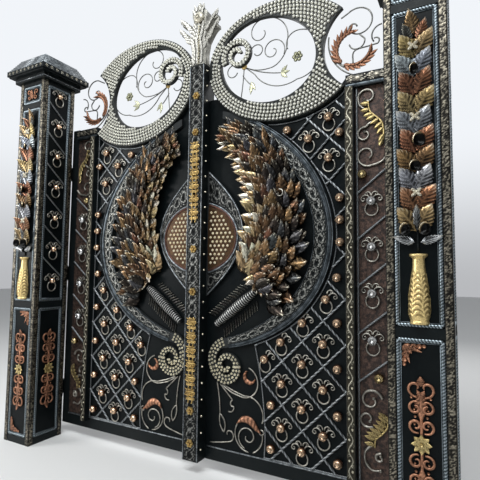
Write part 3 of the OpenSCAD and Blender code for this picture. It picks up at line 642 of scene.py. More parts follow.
def band(left, right, columns, face_y, height, pattern, low=0.0, high=1.0):
    """Raised strip between two rows of points.

    It stands height * pattern(s, t, half) off the face and meets it at its edges. s runs along it, t from -1
    to 1 across it, and half is its half width. low and high are the shares of the width that it fills.
    """
    share = np.concatenate([[0.0], np.linspace(0.0, 1.0, columns), [1.0]])[None]
    where = (low + (high - low) * share)[..., None]
    flat = left[:, None] * (1 - where) + right[:, None] * where
    s = lengths((left + right) / 2)[:, None]
    t = share * 2 - 1
    half = np.linalg.norm(right - left, axis=1).mean() * (high - low) / 2
    h = pattern(s + 0 * t, t + 0 * s, half)
    h[:, [1, -2]] = 0.25
    h[:, [0, -1]] = 0.0
    return sheet(placed(flat, face_y - height * h), h)


def beads(path, pitch, radius, face_y, squash=0.9):
    """A row of pearls along a path."""
    return PEARL_DOME.stamped(placed(even(path, pitch), face_y), 0.0, (radius, radius * squash, radius))


# Sizes and places shared by several pieces, in millimetres

HALF = 1500.0
MULLION_HALF = 70.0
MULLION_FACE = -104.0
STILE_IN = 1461.0
RAIL_TOP = 202.0
RAISED_IN, RAISED_OUT = 1185.0, 1243.0
TOP_RAIL, TOP_RAIL_END = 2800.0, 2892.0
SEAT_DEPTH = 2.0
PITCH = 304.0
LOW_CELL, HIGH_CELL, LATTICE_SPLIT = (866, 442), (912, 502), 1840
EDGE_FOOT, EDGE_RISE = 300, 720
ARC_OUTER = ((-97, 1908), (1207, 951), -14.7)
ARC_INNER = ((-404, 1952), (1377, 959), -12.6)
ARC_FACE = -24.0
RING_OUTER = ((684, 3123), (614, 469), -6.4)
RING_INNER = ((579, 3151), (405, 330), -20.5)
NOTCH = ((1378, 3110), (347, 347), 0.0)
RING_FACE = -36.0
VOLUTE = (262, 822)
HOOK = (334, 3246)
SPINE = ((80, 1900), (600, 740), 0.0)
PIER_WIDTH, PIER_DEPTH, PIER_HEIGHT, POST = 336.0, 340.0, 3290.0, 44.0
PIER_X = HALF + PIER_WIDTH / 2
PIER_OUT = HALF + PIER_WIDTH
FLANK_FACE = HALF + 10
PIER_BACK = -47.0
PIER_FRONT = PIER_BACK - PIER_DEPTH
PIER_Y = (PIER_FRONT + PIER_BACK) / 2
PANEL_FACE = PIER_FRONT + 10.0
PIER_RAILS = ((0, 60), (1190, 1246), (3034, 3084), (3256, 3290))


def flanked(form, face_x, out):
    """Turns a form drawn in y and z onto a face that looks along x.

    Its x becomes y, and its height points along out.
    """
    x, y, z = form.points.T
    faces = form.faces if out > 0 else [group[:, ::-1] for group in form.faces]
    return Form(np.stack([face_x - out * y, x, z], -1), faces, form.rise, form.tint)


def straight(x0, z0, x1, z1, step):
    """A straight path with points about a step apart."""
    return even(np.array([[x0, z0], [x1, z1]], float), step)


# Lattice of twisted bars

def lattice_edge(z):
    """Where the lattice ends on its inner side, as x over z."""
    edge = np.where(z < EDGE_FOOT, 572 + (z - 200) * 0.08, 580 - 95 * ((z - EDGE_FOOT) / EDGE_RISE) ** 2)
    return np.where(z > EDGE_FOOT + EDGE_RISE, 486, edge)


def in_lattice(points):
    """True inside the leaf's lattice panel."""
    x, z = points[..., 0], points[..., 1]
    inside = (x > lattice_edge(z)) & (x < RAISED_IN - 1) & (z > RAIL_TOP + 1)
    return inside & (oval_level(ARC_OUTER, 14, points) > 1) & (oval_level(RING_OUTER, 14, points) > 1)


def clipped(path, keep):
    """The stretches of a path where keep is true."""
    flags = np.concatenate([[False], keep, [False]])
    starts, ends = np.flatnonzero(flags[1:] & ~flags[:-1]), np.flatnonzero(~flags[1:] & flags[:-1])
    return [path[a:b] for a, b in zip(starts, ends) if b - a > 3]


def twisted_lattice():
    """Bars at 45 degrees, laid out from one cell's centre for each half of the panel, and the border."""
    bars = []
    for (x, z), low, high in ((LOW_CELL, 0, LATTICE_SPLIT), (HIGH_CELL, LATTICE_SPLIT, 4000)):
        for k in range(10):
            middle = z - PITCH / 2 + (k - 0.5) * PITCH
            for t in (-1, 1):
                path = straight(x - 800, middle - t * 800, x + 800, middle + t * 800, 9.0)
                keep = in_lattice(path) & (path[:, 1] >= low) & (path[:, 1] < high)
                bars += [tube(run, 7.6, -6.5 - t * 1.5, 8, lobes=2, pitch=84.0, cut=0.18)
                         for run in clipped(path, keep)]
    low_edge = np.linspace(RAIL_TOP, EDGE_FOOT + EDGE_RISE, 90)
    edges = [oval_point(ARC_OUTER, 18, np.linspace(60, -70, 160)),
             oval_point(RING_OUTER, 18, np.linspace(-20, -120, 90)),
             straight(RAISED_IN - 5, RAIL_TOP, RAISED_IN - 5, TOP_RAIL, 9.0),
             straight(575, RAIL_TOP + 5, RAISED_IN, RAIL_TOP + 5, 9.0),
             np.stack([lattice_edge(low_edge) + 5, low_edge], -1)]
    for edge in edges:
        edge = even(edge, 9.0)
        keep = in_lattice(edge + (0.5, 1.5))
        bars += [tube(run, 4.6, -5.0, 6, lobes=2, pitch=38.0, cut=0.2) for run in clipped(edge, keep)]
    return joined(bars)


publish("twisted_lattice", [(twisted_lattice(), TWIST)], "leaf", ["lattice"])


# Balls with pendant rings and curled horns

def pendant(x, z, horns=(-1, 1), wide=1.0):
    """Ring that hangs from a ball, and horns that spring from the ball's sides and curl at their ends."""
    y = -9.0
    angle = np.linspace(0, 2 * np.pi, 33)[:, None]
    section = np.linspace(0, 2 * np.pi, 7, endpoint=False)[None]
    reach = 42.0 + 5.0 * np.cos(section)
    ring = np.stack([x + reach * np.cos(angle), y - 5.0 * np.sin(section) + 0 * angle,
                     z - 50 + reach * 1.06 * np.sin(angle)], -1)
    forms = [sheet(ring, 0.7, wrap=True, out=None)]
    for t in horns:
        low = mirrored_spiral(t, (x + t * 50 * wide, z + 14), 33, 26, 180, 20, 5.0)
        low_eye = mirrored_spiral(t, (x + t * 62 * wide, z + 16), 15, 6, 20, -300, 4.0)
        high = mirrored_spiral(t, (x + t * 30 * wide, z + 44), 24, 17, 200, 20, 5.0)
        high_eye = mirrored_spiral(t, (x + t * 37 * wide, z + 48), 10, 5, 20, -270, 4.0)
        for path, thick in ((chain(low, low_eye), 5.4), (chain(high, high_eye), 4.6)):
            forms.append(tube(path, np.linspace(thick, thick * 0.55, len(path)), y, 6))
    return joined(forms)


def knob_places():
    """Rings, each with the sides on which it has horns, and the single balls between them."""
    h = PITCH / 2
    both, right = (-1, 1), (1,)
    x, z = LOW_CELL
    rings = [(x, level, both) for level in (310, 290 + 2 * h, 290 + 4 * h)]
    rings += [(x + t * h, z + 2 * h * j, both) for j in range(2) for t in both]
    rings += [(870, 1182, right), (x + h, 1050, both), (x - h - 6, 1037, right), (x + h + 21, 1352, right)]
    rings += [(582, 903, right), (1062, 2333, both), (1062 - h + 4, 2487, both), (1062, 2624, both)]
    foot = 285
    balls = [(1118, foot + PITCH * k) for k in range(5)] + [(1140, 1742 + h * k) for k in (0, 1, 2, 5)]
    balls += [(636, foot + PITCH * k) for k in range(2)] + [(754, 2572)]
    return rings, balls


def balls_at(places, radius=32.0, depth=-24.0):
    """Round balls at points of the gate's plane."""
    return BALL.stamped([(x, depth, z) for x, z in places], 0.0, radius)


RINGS, BALLS = knob_places()
publish("pendant_rings", [(joined([pendant(*place) for place in RINGS]), WIRE),
                          (balls_at([place[:2] for place in RINGS] + BALLS), COPPER_BALL)],
        "leaf", ["knob_rings"])


# Leaf spray on the arc

LEAF_SMALL = leaf_form(4, cup=0.18, curve=0.14, notch=0.35)
SHELL = shell_leaf()
SWUNG = {t: shell_leaf(bend=0.20 * t) for t in (-1, 1)}
HOOKED = {t: shell_leaf(4, 7, 13, bend=0.26 * t) for t in (-1, 1)}
SMALL_SHELL = shell_leaf(5, 5, 13)
LEAF_TINY = leaf_form(2, across=3)


def tints(colours, count, seed):
    """Paint tones dealt in turn, each shifted a little."""
    rng = np.random.default_rng(seed)
    rows = np.array([colours[k % len(colours)] for k in range(count)])
    shade, hue = rng.uniform(0.82, 1.18, (count, 1)), rng.uniform(0.95, 1.05, (count, 3))
    return np.clip(rows * shade * hue, 0.01, 0.95)


def spray_foot(colours):
    """Leaves that fan out round the foot of the bush, their stalks scattered within 6 mm."""
    count = len(colours)
    x, z = oval_point(SPINE, 0, np.array(-38.0))
    turns = np.array([-104, -84, -64, -44, -24, -4, 16, -124, 196, 176], float)
    reach = np.array([118, 134, 142, 150, 150, 146, 140, 112, 120, 126], float)
    spots = np.stack([x + 6 * np.cos(turns), np.linspace(-30, -44, count), z + 40 + 6 * np.sin(turns)], -1)
    sizes = np.stack([reach, np.full(count, 76.0), np.full(count, 74.0)], -1)
    return HOOKED[1].stamped(spots, turns, sizes, tints(colours, count, 77), 8.0)


def spray():
    """Shingled bush of broad hooked leaves.

    Each row keeps its distance w from the spine, from -1 at the inner edge to 1 at the outer, while u runs
    from the foot to the top. Leaves lean away from the spine by 84 w degrees on the inner side and 72 w on
    the outer, and their tips hook upwards. Rows nearer the middle stand further off the sheet.
    """
    rng = np.random.default_rng(5)
    black, brown, bronze = (0.034, 0.027, 0.021), (0.125, 0.070, 0.036), (0.23, 0.140, 0.066)
    gold, pale, red = (0.46, 0.34, 0.18), (0.66, 0.62, 0.50), (0.15, 0.070, 0.042)
    slate = (0.075, 0.078, 0.082)
    forms = []
    # The inner rows carry gold and pale tints and the outer rows dark ones: painted light on the inner side,
    # painted shade on the outer side
    rows = [(-1.0, 22, -22.0, [gold, pale, bronze, pale, gold]),
            (1.0, 18, -22.0, [black, brown, slate, bronze, slate]),
            (-0.76, 19, -33.0, [gold, bronze, pale, brown]),
            (0.74, 16, -33.0, [slate, black, brown, bronze]),
            (-0.50, 17, -44.0, [bronze, brown, gold, black]),
            (0.48, 15, -44.0, [black, bronze, slate, brown]),
            (-0.24, 16, -54.0, [brown, black, bronze, red]),
            (0.22, 15, -54.0, [slate, brown, black, bronze]),
            (0.0, 15, -62.0, [black, brown, bronze, slate])]
    for k, (w, count, y, colours) in enumerate(rows):
        u = np.linspace(0.03 if w < 0 else 0.01, 1.0, count) + rng.uniform(-0.009, 0.009, count)
        a = -42 + 112 * u
        base = 122 * (1 - 0.70 * u ** 2.4) * w - 10 * (1 - u)
        spots = np.stack([oval_point(SPINE, b, np.array(t)) for b, t in zip(base, a)])
        lean = (84 if w < 0 else 72) * w * (1.0 - 0.2 * u)
        foot_turn = 22 * np.clip(0.22 - u, 0, 1) / 0.22
        turn = a + 90 - lean - foot_turn + rng.uniform(-9, 9, count)
        length = (160 - 54 * u ** 2) * rng.uniform(0.86, 1.14, count) * (1.10 if abs(w) == 1 else 1.0)
        width = (104 - 32 * u ** 2) * rng.uniform(0.88, 1.12, count)
        depth = y - 2.5 * (np.arange(count) % 2)
        forms.append(HOOKED[1 if w > 0 else -1].stamped(
            placed(spots, depth), turn, np.stack([length, np.full(count, 76.0), width], -1),
            tints(colours, count, 50 + k), 9.0))
    # At the foot, the two leaves turned inwards are pale and gold and the rest mostly black: the same painted
    # light and painted shade
    return joined(forms + [spray_foot([black, brown, black, red, black, bronze, black, brown, pale, gold])])


def spray_tendrils():
    """The stem of the bush and five rings of wire that curl up out of its leaves."""
    forms = [tube(even(oval_point(SPINE, 0, np.linspace(-38, 72, 60)), 16.0), 13.0, -46.0, 8)]
    for a, size, t in ((-30, 46, 1), (-8, 40, -1), (14, 44, 1), (38, 40, -1), (58, 36, 1)):
        x, z = oval_point(SPINE, 0, np.array(a))
        path = mirrored_spiral(t, (x + t * size * 1.2, z + 20), size, 11, 200, -170, 8.0)
        thick, depth = np.linspace(6.0, 4.2, len(path)), np.linspace(-60.0, -88.0, len(path))
        forms.append(tube(path, thick, depth, 6))
    return joined(forms)


publish("leaf_bush", [(spray(), LEAF), (spray_tendrils(), WIRE)], "leaf", ["leaf_spray"])


# Garland on a pier's upper panel

GARLAND_FOOT, GARLAND_STEP = 1765.0, 108.0


def garland():
    """Pairs of broad leaves stacked up the panel with their tips hooked outwards.

    Each pair lies over the foot of the one above it. Three leaves fan out at the top, and two pale ones lie
    over the mouth of the vase.
    """
    copper, gold, silver = (0.33, 0.150, 0.082), (0.42, 0.315, 0.15), (0.38, 0.41, 0.43)
    bronze, dark = (0.30, 0.185, 0.085), (0.085, 0.08, 0.07)
    grey, pale = (0.26, 0.27, 0.27), (0.66, 0.68, 0.69)
    tones = [gold, copper, silver, bronze, copper, silver, gold, copper, silver, gold]
    rows = [(GARLAND_FOOT + GARLAND_STEP * k, tone) for k, tone in enumerate(tones)]
    forms = []
    for k, (z, tone) in enumerate(rows[::-1]):
        for t in (-1, 1):
            sway = 5.0 * math.sin(2.4 * k + t)
            spot = (PIER_X + t * 6, PANEL_FACE - 7 - 1.2 * k, z + (8 if t > 0 else 0))
            forms.append(SWUNG[-t].stamped([spot], 90 - t * (23 + sway), [(158.0 + sway, 84.0, 106.0)],
                                           tints([tone], 1, 40 + 2 * k + (t > 0)), 9.0))
    tops = [(-2, 2876, 99, 142, 84, bronze), (12, 2846, 62, 112, 70, copper), (-12, 2850, 118, 100, 64, dark)]
    for x, z, turn, length, width, tone in tops[::-1]:
        forms.append(SHELL.stamped([(PIER_X + x, PANEL_FACE - 8, z)], turn, [(length, 80.0, width)],
                                   tints([tone], 1, int(z)), 7.0))
    forms.append(SHELL.stamped([(PIER_X, PANEL_FACE - 24, 1768)], 90, [(142.0, 80.0, 58.0)], [grey], 6.0))
    forms.append(SHELL.stamped([(PIER_X + t * 14, PANEL_FACE - 14, 1704) for t in (-1, 1)], [164, 16],
                               (118.0, 70.0, 46.0), [pale] * 2, 4.0))
    return joined(forms)


def garland_buds():
    """Four long buds crossed over a small round one, at three heights."""
    forms = []
    a = np.array([40.0, 140.0, 220.0, 320.0])
    for x, z in ((-5, 2800), (0, 2395), (0, 1975)):
        spots = placed(polar((PIER_X + x, z), 17, a), PANEL_FACE - 46)
        forms.append(BALL.stamped(spots, a, (17.0, 11.0, 9.5)))
        forms.append(BALL.stamped([(PIER_X + x, PANEL_FACE - 50, z)], 0.0, 8.0))
    return joined(forms)


def garland_cups():
    """Open cups, near black inside as painted shade, with a painted highlight on one side of the rim:
    radius(h) over height h, turned round the axis that faces the road.
    """
    profile = np.array([[0, 0], [17, 2], [24, 14], [28, 26], [25, 27], [20, 14], [0, 7]], float)
    # pale marks the rim; only the side that glint picks out turns bright, a painted highlight
    pale = np.array([0, 0, 0.1, 1.0, 1.0, 0.1, 0.0])[:, None]
    a = np.linspace(0, 2 * np.pi, 15)[:-1][None]
    r, h = profile[:, :1], profile[:, 1:]
    # glint: a painted highlight on one side of the rim; rise 0 inside the cup paints shade there
    glint = np.clip(np.cos(a - 2.3), 0, 1) ** 0.7
    points = np.stack([r * np.cos(a), -h + 0 * a, r * np.sin(a) * (1 + 0.16 * np.sin(a))], -1)
    cup = sheet(points, pale * glint, wrap=True, out=None)
    cup.tint = np.broadcast_to((0.26, 0.19, 0.10), cup.points.shape)
    spots = [(-50, 1770), (50, 1770), (-10, 2115), (10, 2255), (-10, 2655)]
    sizes = [(1.2, 1.0, 1.3), (1.2, 1.0, 1.3), (1.1, 1.0, 1.1), (1.25, 1.0, 1.45), (0.9, 1.0, 1.2)]
    places = [(PIER_X + x, PANEL_FACE - 46, z) for x, z in spots]
    return cup.stamped(places, 0.0, sizes, None, [24, 24, -20, -24, -26])


def garland_stem():
    """Straight stalk behind the leaves."""
    return tube(straight(PIER_X, 1656, PIER_X, 2920, 30.0), 6.0, PANEL_FACE - 6, 8)


publish("garland_leaves", [(joined([garland(), garland_cups()]), LEAF), (garland_buds(), BUD),
                           (garland_stem(), DARK)], "posts", ["garland"])


# Band of the great arc

def arc_sides():
    """Matching points on the arc's outer and inner edge.

    Each inner point lies square across from the outer one.
    """
    outer = even(oval_point(ARC_OUTER, 0, np.linspace(74, -72, 400)), 9.0)
    inward = normals(outer)
    if inward[0] @ (outer[0] - np.array(ARC_OUTER[0])) > 0:
        inward = -inward
    reach = np.linspace(10, 420, 420)[:, None, None]
    crossed = oval_level(ARC_INNER, 0, outer[None] + inward[None] * reach) < 1
    first = np.where(crossed.any(axis=0), crossed.argmax(axis=0), 0)
    inner = outer + inward * reach[first, 0]
    middle = (outer + inner) / 2
    keep = crossed.any(axis=0) & (oval_level(RING_OUTER, 4, middle) > 1) & (outer[:, 0] > 200)
    keep &= np.linalg.norm(middle - np.array(VOLUTE), axis=1) > 175
    return outer[keep], inner[keep]


def arc_relief():
    """Vine between a raised rim and a raised edge, then a plain strip and a rope along the outside."""
    outer, inner = arc_sides()
    vine = band(inner, outer, 21, ARC_FACE, 7.0, vine_of(84.0), 0.05, 0.66)
    rim = band(inner, outer, 5, ARC_FACE, 6.0, rounded, 0.0, 0.05)
    edge = band(inner, outer, 5, ARC_FACE, 5.0, rounded, 0.67, 0.71)
    plain = band(inner, outer, 5, ARC_FACE, 2.5, plain_strip, 0.72, 0.90)
    rope = tube(even(inner * 0.03 + outer * 0.97, 9.0), 5.0, ARC_FACE - 2, 6, lobes=2, pitch=36.0, cut=0.22)
    return vine, joined([rim, edge, plain, rope])


VINE, EDGES = arc_relief()


def volute_pearls():
    """Rows of pearls that follow the spiral and thin out towards its eye."""
    rows = []
    for r0, r1, a0, a1, shift in ((112, 92, 190, 360, (-25, 0, 25)), (92, 22, 360, 690, (-13, 13)),
                                  (178, 112, 100, 190, (-25, 0, 25))):
        for offset in shift:
            path = spiral(VOLUTE, r0, r1, a0, a1, 5.0)
            share = np.linspace(1.0, 0.55 if r1 < 30 else 1.0, len(path))[:, None]
            rows.append(beads(path + normals(path) * offset * share, 28.0, 10.5, ARC_FACE, 1.0))
    return joined(rows)


publish("arc_relief", [(VINE, ARC_SILVER), (EDGES, PLAIN), (volute_pearls(), PEARL)], "leaf")


# Pearls of the crown ring

def ring_pearls():
    """Staggered rows that follow the ring's outer oval wherever the plate is wide enough."""
    spots = []
    for row in range(12):
        inset = 17 + row * 27.0
        path = even(oval_point(RING_OUTER, -inset, np.linspace(0, 360, 500)), 30.0)
        path = path + np.gradient(path, axis=0) * (0.5 if row % 2 else 0.0)
        keep = (oval_level(RING_INNER, 12, path) > 1) & (oval_level(NOTCH, 13, path) > 1)
        keep &= (path[:, 0] > MULLION_HALF + 27)
        keep &= ~((path[:, 0] > RAISED_IN - 12) & (path[:, 1] < TOP_RAIL_END + 12))
        spots.append(path[keep])
    for r0, r1, a0, a1, half in ((128, 104, 205, 90, 24), (104, 88, 90, -70, 21), (88, 26, -70, -330, 15)):
        path = spiral(HOOK, r0, r1, a0, a1, 5.0)
        for t in (-0.5, 0.5):
            spots.append(even(path + normals(path) * half * t, 27.0))
    return PEARL_DOME.stamped(placed(np.concatenate(spots), RING_FACE), 0.0, (14.2, 15.0, 14.2))


publish("ring_pearls", [(ring_pearls(), RING_PEARL)], "leaf")


# Medallion beside the mullion

MEDALLION_Z = 1840.0
DISC_Z, DISC_HALF_X, DISC_HALF_Z = 1800, 336, 266
DISC = ((0, DISC_Z), (DISC_HALF_X, DISC_HALF_Z), 0.0)
CLEAR_X = 88.0


def ogee_edge(count):
    """x = 70 + 324 * ((1 + cos(pi t)) / 2) ** 0.47, z = 1840 + 500 t, with t from -0.985 to 0.985."""
    t = np.linspace(-0.985, 0.985, count)
    return np.stack([70 + 324 * ((1 + np.cos(np.pi * t)) / 2) ** 0.47, MEDALLION_Z + 500 * t], -1)


def medallion_surround():
    """Vine relief between the disc and the ogee edge, and a rope along that edge."""
    outer = even(ogee_edge(400), 8.0)
    share = np.linspace(-1, 1, len(outer))
    inner = oval_point(DISC, 24, 90 * np.sign(share) * np.abs(share) ** 1.25)
    outer, inner = [np.stack([np.maximum(p[:, 0], CLEAR_X), p[:, 1]], -1) for p in (outer, inner)]
    wide = np.linalg.norm(outer - inner, axis=1) > 12
    outer, inner = outer[wide], inner[wide]
    relief = band(inner, outer, 21, ARC_FACE, 6.0, vine_of(80.0), 0.02, 0.90)
    rim = tube(outer * 0.97 + inner * 0.03, 5.5, ARC_FACE - 2, 6, lobes=2, pitch=34.0, cut=0.2)
    return relief, rim


def disc_dome(x, z):
    """Depth of the disc's low dome."""
    level = (x / DISC_HALF_X) ** 2 + ((z - DISC_Z) / DISC_HALF_Z) ** 2
    return -30 - 9 * np.clip(1 - level, 0, 1)


def medallion_disc():
    """Hammered disc, a low dome over the oval, cut straight beside the mullion."""
    t = np.linspace(-1, 1, 49)[:, None]
    z = DISC_Z + (DISC_HALF_Z - 4) * np.sin(t * np.pi / 2)
    reach = (DISC_HALF_X - 4) * np.sqrt(np.clip(1 - ((z - DISC_Z) / DISC_HALF_Z) ** 2, 0, 1))
    share = np.linspace(0, 1, 26)[None]
    x = CLEAR_X + np.maximum(reach - CLEAR_X, 0) * share
    ripple = np.sin(x / 13.0 + np.sin(z / 17.0)) * np.cos(z / 12.0)
    return sheet(np.stack([x, disc_dome(x, z) - 0.8 * ripple, z + 0 * x], -1), 0.5 + 0.3 * ripple)


def disc_dots():
    """Staggered rows of dots over the disc, 38 apart in a row and 33 from row to row."""
    rows, columns = np.mgrid[-8:9, 0:12]
    x = columns * 38.0 + np.where(rows % 2, 19.0, 0.0)
    z = DISC_Z + rows * 33.0
    inside = (x / (DISC_HALF_X - 24)) ** 2 + ((z - DISC_Z) / (DISC_HALF_Z - 24)) ** 2 < 1
    keep = inside & (x > CLEAR_X + 8)
    return PEARL_DOME.stamped(np.stack([x, disc_dome(x, z), z], -1)[keep], 0.0, (11.0, 9.0, 11.0))


def disc_rim(grow, radius, lobes=0):
    """Round bar or rope along the disc's oval."""
    path = oval_point(DISC, grow, np.linspace(-90, 90, 160))
    path = even(path[path[:, 0] > CLEAR_X], 8.0)
    return tube(path, radius, -29.0, 8, lobes=lobes, pitch=30.0, cut=0.2 if lobes else 0.0)


SURROUND, SURROUND_RIM = medallion_surround()
publish("medallion_relief", [(SURROUND, DIM_SILVER), (SURROUND_RIM, BAR), (disc_rim(16, 7.0, 2), BAR),
                             (disc_rim(2, 8.0), BROWN_LINE), (medallion_disc(), DISC_GOLD),
                             (disc_dots(), DOT_GOLD)], "leaf")


# Mullion: embossed front, gold filigree, flowers, studs and rope edges


def curl_pair(x, z, radius, turns, width, y, up=1):
    """Two mirrored curls that open from a stem at x, z."""
    forms = []
    for t in (-1, 1):
        path = mirrored_spiral(t, (x + t * radius, z), radius, radius * 0.28, 180, 180 - turns, 5.5)
        path[:, 1] = z + (path[:, 1] - z) * up
        forms.append(tube(path, np.linspace(width, width * 0.55, len(path)), y, 6))
    return joined(forms)


def filigree_unit(x, z, height, half, y):
    """One bay of pierced scrollwork: two buds on the axis, two pairs of curls and four small leaves."""
    forms = [curl_pair(x, z + height * 0.66, half * 0.46, 400, 4.6, y),
             curl_pair(x, z + height * 0.30, half * 0.40, 400, 4.2, y, -1),
             tube(straight(x, z, x, z + height, 12.0), 5.0, y, 6)]
    buds = [(x, y - 3, z + height * 0.5), (x, y - 2, z + height * 0.02)]
    forms.append(SMALL_BALL.stamped(buds, 0.0, [[9.0] * 3, [7.0] * 3]))
    spots = [(x + t * 4, y - 2, z + height * k) for t in (-1, 1) for k in (0.46, 0.84)]
    forms.append(LEAF_TINY.stamped(spots, [148, 148, 32, 32], (half * 0.95, 26.0, half * 0.5), None, 8.0))
    return joined(forms)


def flower_form(x, z, radius, y):
    """Six round petals and a heart."""
    spots = placed(polar((x, z), radius * 0.58, np.arange(6) * 60.0), y)
    petals = SMALL_BALL.stamped(spots, 0.0, (radius * 0.36, 7.0, radius * 0.36))
    heart = SMALL_BALL.stamped([(x, y - 4, z)], 0.0, (radius * 0.26, 9.0, radius * 0.26))
    return joined([petals, heart])


def mullion_front():
    """Vine relief up the mullion's face."""
    z = np.arange(104, 3198, 9.0)
    return band(upright(-62, z), upright(62, z), 19, MULLION_FACE, 5.0, vine_of(74.0), 0.04, 0.96)


def mullion_edges():
    """Ropes along the front corners, and a row of studs up each flank."""
    ropes = [tube(straight(x, 100, x, 3200, 9.0), 5.0, MULLION_FACE - 1, 6, lobes=2, pitch=36.0, cut=0.22)
             for x in (-64, 64)]
    studs = PEARL_DOME.stamped(placed(upright(-62.0, np.arange(180, 3180, 124.0)), 0.0), 0.0, 8.5)
    return joined(ropes), joined([flanked(studs, t * MULLION_HALF, t) for t in (-1, 1)])


MULLION_ROPES, MULLION_STUDS = mullion_edges()
GOLDWORK = joined([filigree_unit(x, z + k * 107, 112, 30, MULLION_FACE - 9)
                   for z in (530, 1920) for k in range(6) for x in (-17, 17)]
                  + [flower_form(0, z, 36, MULLION_FACE - 8) for z in (2945, 2645, 1708, 1374, 470, 230)])
publish("mullion_relief", [(mullion_front(), DIM_SILVER), (MULLION_ROPES, BAR), (MULLION_STUDS, PEARL)],
        "right_leaf", sides=("right",))
publish("mullion_goldwork", [(GOLDWORK, GOLD)], "right_leaf", ["mullion_ornaments"],
        ("right",))


# Finial

BOSS_Z = 3610


def finial_dress():
    """Small curled leaves like scales over the plate and its arms, pearls up its middle, and a round boss."""
    face = -82.0
    heights, halves = [3205, 3300, 3400, 3500, 3590, 3650, 3745], [66, 60, 76, 56, 52, 66, 4]
    places, turns, sizes = [], [], []
    for z in np.arange(3222, 3690, 30.0):
        half = np.interp(z, heights, halves)
        for x in np.arange(-half + 22, half - 18, 30.0):
            if (x / 52) ** 2 + ((z + 18 - BOSS_Z) / 52) ** 2 > 1:
                places.append((x, face - 2, z))
                turns.append(90 - x * 0.55)
                sizes.append(56.0)
    for t in (-1, 1):
        for x0, z0, x1, z1 in ((80, 3400, 192, 3512), (50, 3480, 186, 3594)):
            for share in np.linspace(0.1, 0.92, 7):
                x = t * (x0 + (x1 - x0) * share - 20)
                places.append((x, face - 2, z0 + (z1 - z0) * math.sin(share * math.pi / 2)))
                turns.append(90 - t * (78 - 52 * share))
                sizes.append(58.0)
    sizes = np.array(sizes)
    leaves = SMALL_SHELL.stamped(places, turns, np.stack([sizes, sizes * 0.30, sizes * 0.56], -1), None, 4.0)
    pearls = beads(straight(0, 3222, 0, 3540, 10.0), 22.0, 8.0, face - 8)
    boss = BALL.stamped([(0, face - 12, BOSS_Z)], 0.0, (45.0, 26.0, 45.0))
    return leaves, pearls, boss


ACANTHUS, PEARLS, BOSS = finial_dress()
publish("finial_acanthus", [(ACANTHUS, PALE_SILVER), (PEARLS, PEARL), (BOSS, BUD)], "right_leaf",
        sides=("right",))


# Wires in the crown ring

def wires(runs, radius, y):
    """Round wires through a list of runs, each a path of points."""
    return joined([tube(even(run, 9.0), radius, y, 6) for run in runs])


C_MIDDLE, C_RADIUS = (1240, 3088), 134.0


def crown_wires():
    """Wires that spring from one knot: two large loops, an inner eye, two hooks and three stalks."""
    knot = (375, 3150)
    long_loop = chain(link(knot, (625, 3096), -50), spiral((575, 3285), 194, 166, -68, -5),
                      spiral((575, 3285), 166, 212, -2, 82), spiral((520, 3395), 104, 28, 94, 380))
    far_loop = chain([knot], spiral((750, 3200), 310, 250, 205, 286), spiral((820, 3150), 190, 185, -84, 85),
                     spiral((815, 3240), 94, 78, 90, 205))
    eye = spiral((620, 3225), 105, 16, -27, 418)
    near_hook = chain([knot, (415, 3230)], spiral((490, 3250), 60, 28, 145, -150))
    left_hook = chain([knot], spiral((275, 3130), 55, 42, 85, 340))
    stalks = [link(knot, (695, 3035), -36), link(knot, (350, 2900), 8), link((365, 3080), (435, 2995), -10)]
    return wires([long_loop, far_loop, eye, near_hook, left_hook, *stalks], 4.4, 4.0)


def crown_leaves():
    """Trefoil, drooping leaf and knot on the wires, and a plain rosette in the oval."""
    trefoil = LEAF_SMALL.stamped([(694, 0, 3030)] * 3, [-42, 0, 42], (74.0, 30.0, 44.0), None, 4.0)
    droop = LEAF_SMALL.stamped([(442, 0, 2994), (440, 0, 3010)], [-90, -60], (88.0, 30.0, 42.0), None, 4.0)
    knot = BALL.stamped([(377, 2, 3150)], 0.0, (24.0, 16.0, 26.0))
    return joined([trefoil, droop, flower_form(822, 3132, 46, 3.0)]), knot


def side_wires():
    """Curls over and inside the C scroll, and the stay at its foot."""
    over_top = chain([(1150, 3330)], spiral((1270, 3270), 110, 75, 130, -155),
                     spiral((1235, 3240), 32, 26, 180, 10))
    crossing = chain([(1275, 3185)], spiral((1260, 3135), 52, 55, 12, -168))
    inner_hook = chain(smooth([(1230, 2985), (1240, 3070), (1350, 3085)]),
                       spiral((1385, 3110), 25, 22, -60, 120))
    right_hook = spiral((1430, 3150), 68, 72, 92, 217)
    foot = spiral((1340, 3190), 280, 308, 175, 251)
    band_tube = tube(even(spiral(C_MIDDLE, C_RADIUS, C_RADIUS, 98, 330), 9.0), 8.5, 4.0, 8, flat=0.6)
    return joined([wires([over_top, crossing, inner_hook, right_hook, foot], 5.5, 4.0), band_tube])


def side_acanthus():
    """Two copper plumes that part at the foot of the C scroll and hug it, lobes turned in and out in turn."""
    forms = []
    for a, ahead in ((np.linspace(226, 104, 19), -1), (np.linspace(234, 330, 15), 1)):
        inward = np.where(np.arange(len(a)) % 2 == 1, -0.9, 1.0)
        spots = placed(polar(C_MIDDLE, C_RADIUS - 6, a), -2.0)
        turn = a + 90 * ahead + 26 * ahead * inward
        size = np.stack([np.linspace(58, 66, len(a)), np.full(len(a), 30.0), np.full(len(a), 27.0)], -1)
        forms.append(HOOKED[-ahead].stamped(spots, turn, size, None, 5.0))
    return joined(forms)


LEAVES, KNOT = crown_leaves()
publish("crown_wires", [(joined([crown_wires(), side_wires()]), DARK_WIRE), (LEAVES, PALE_LEAF), (KNOT, GOLD),
                        (side_acanthus(), COPPER_LEAF)], "leaf", ["crown_scrolls"])


# Narrow outer panel

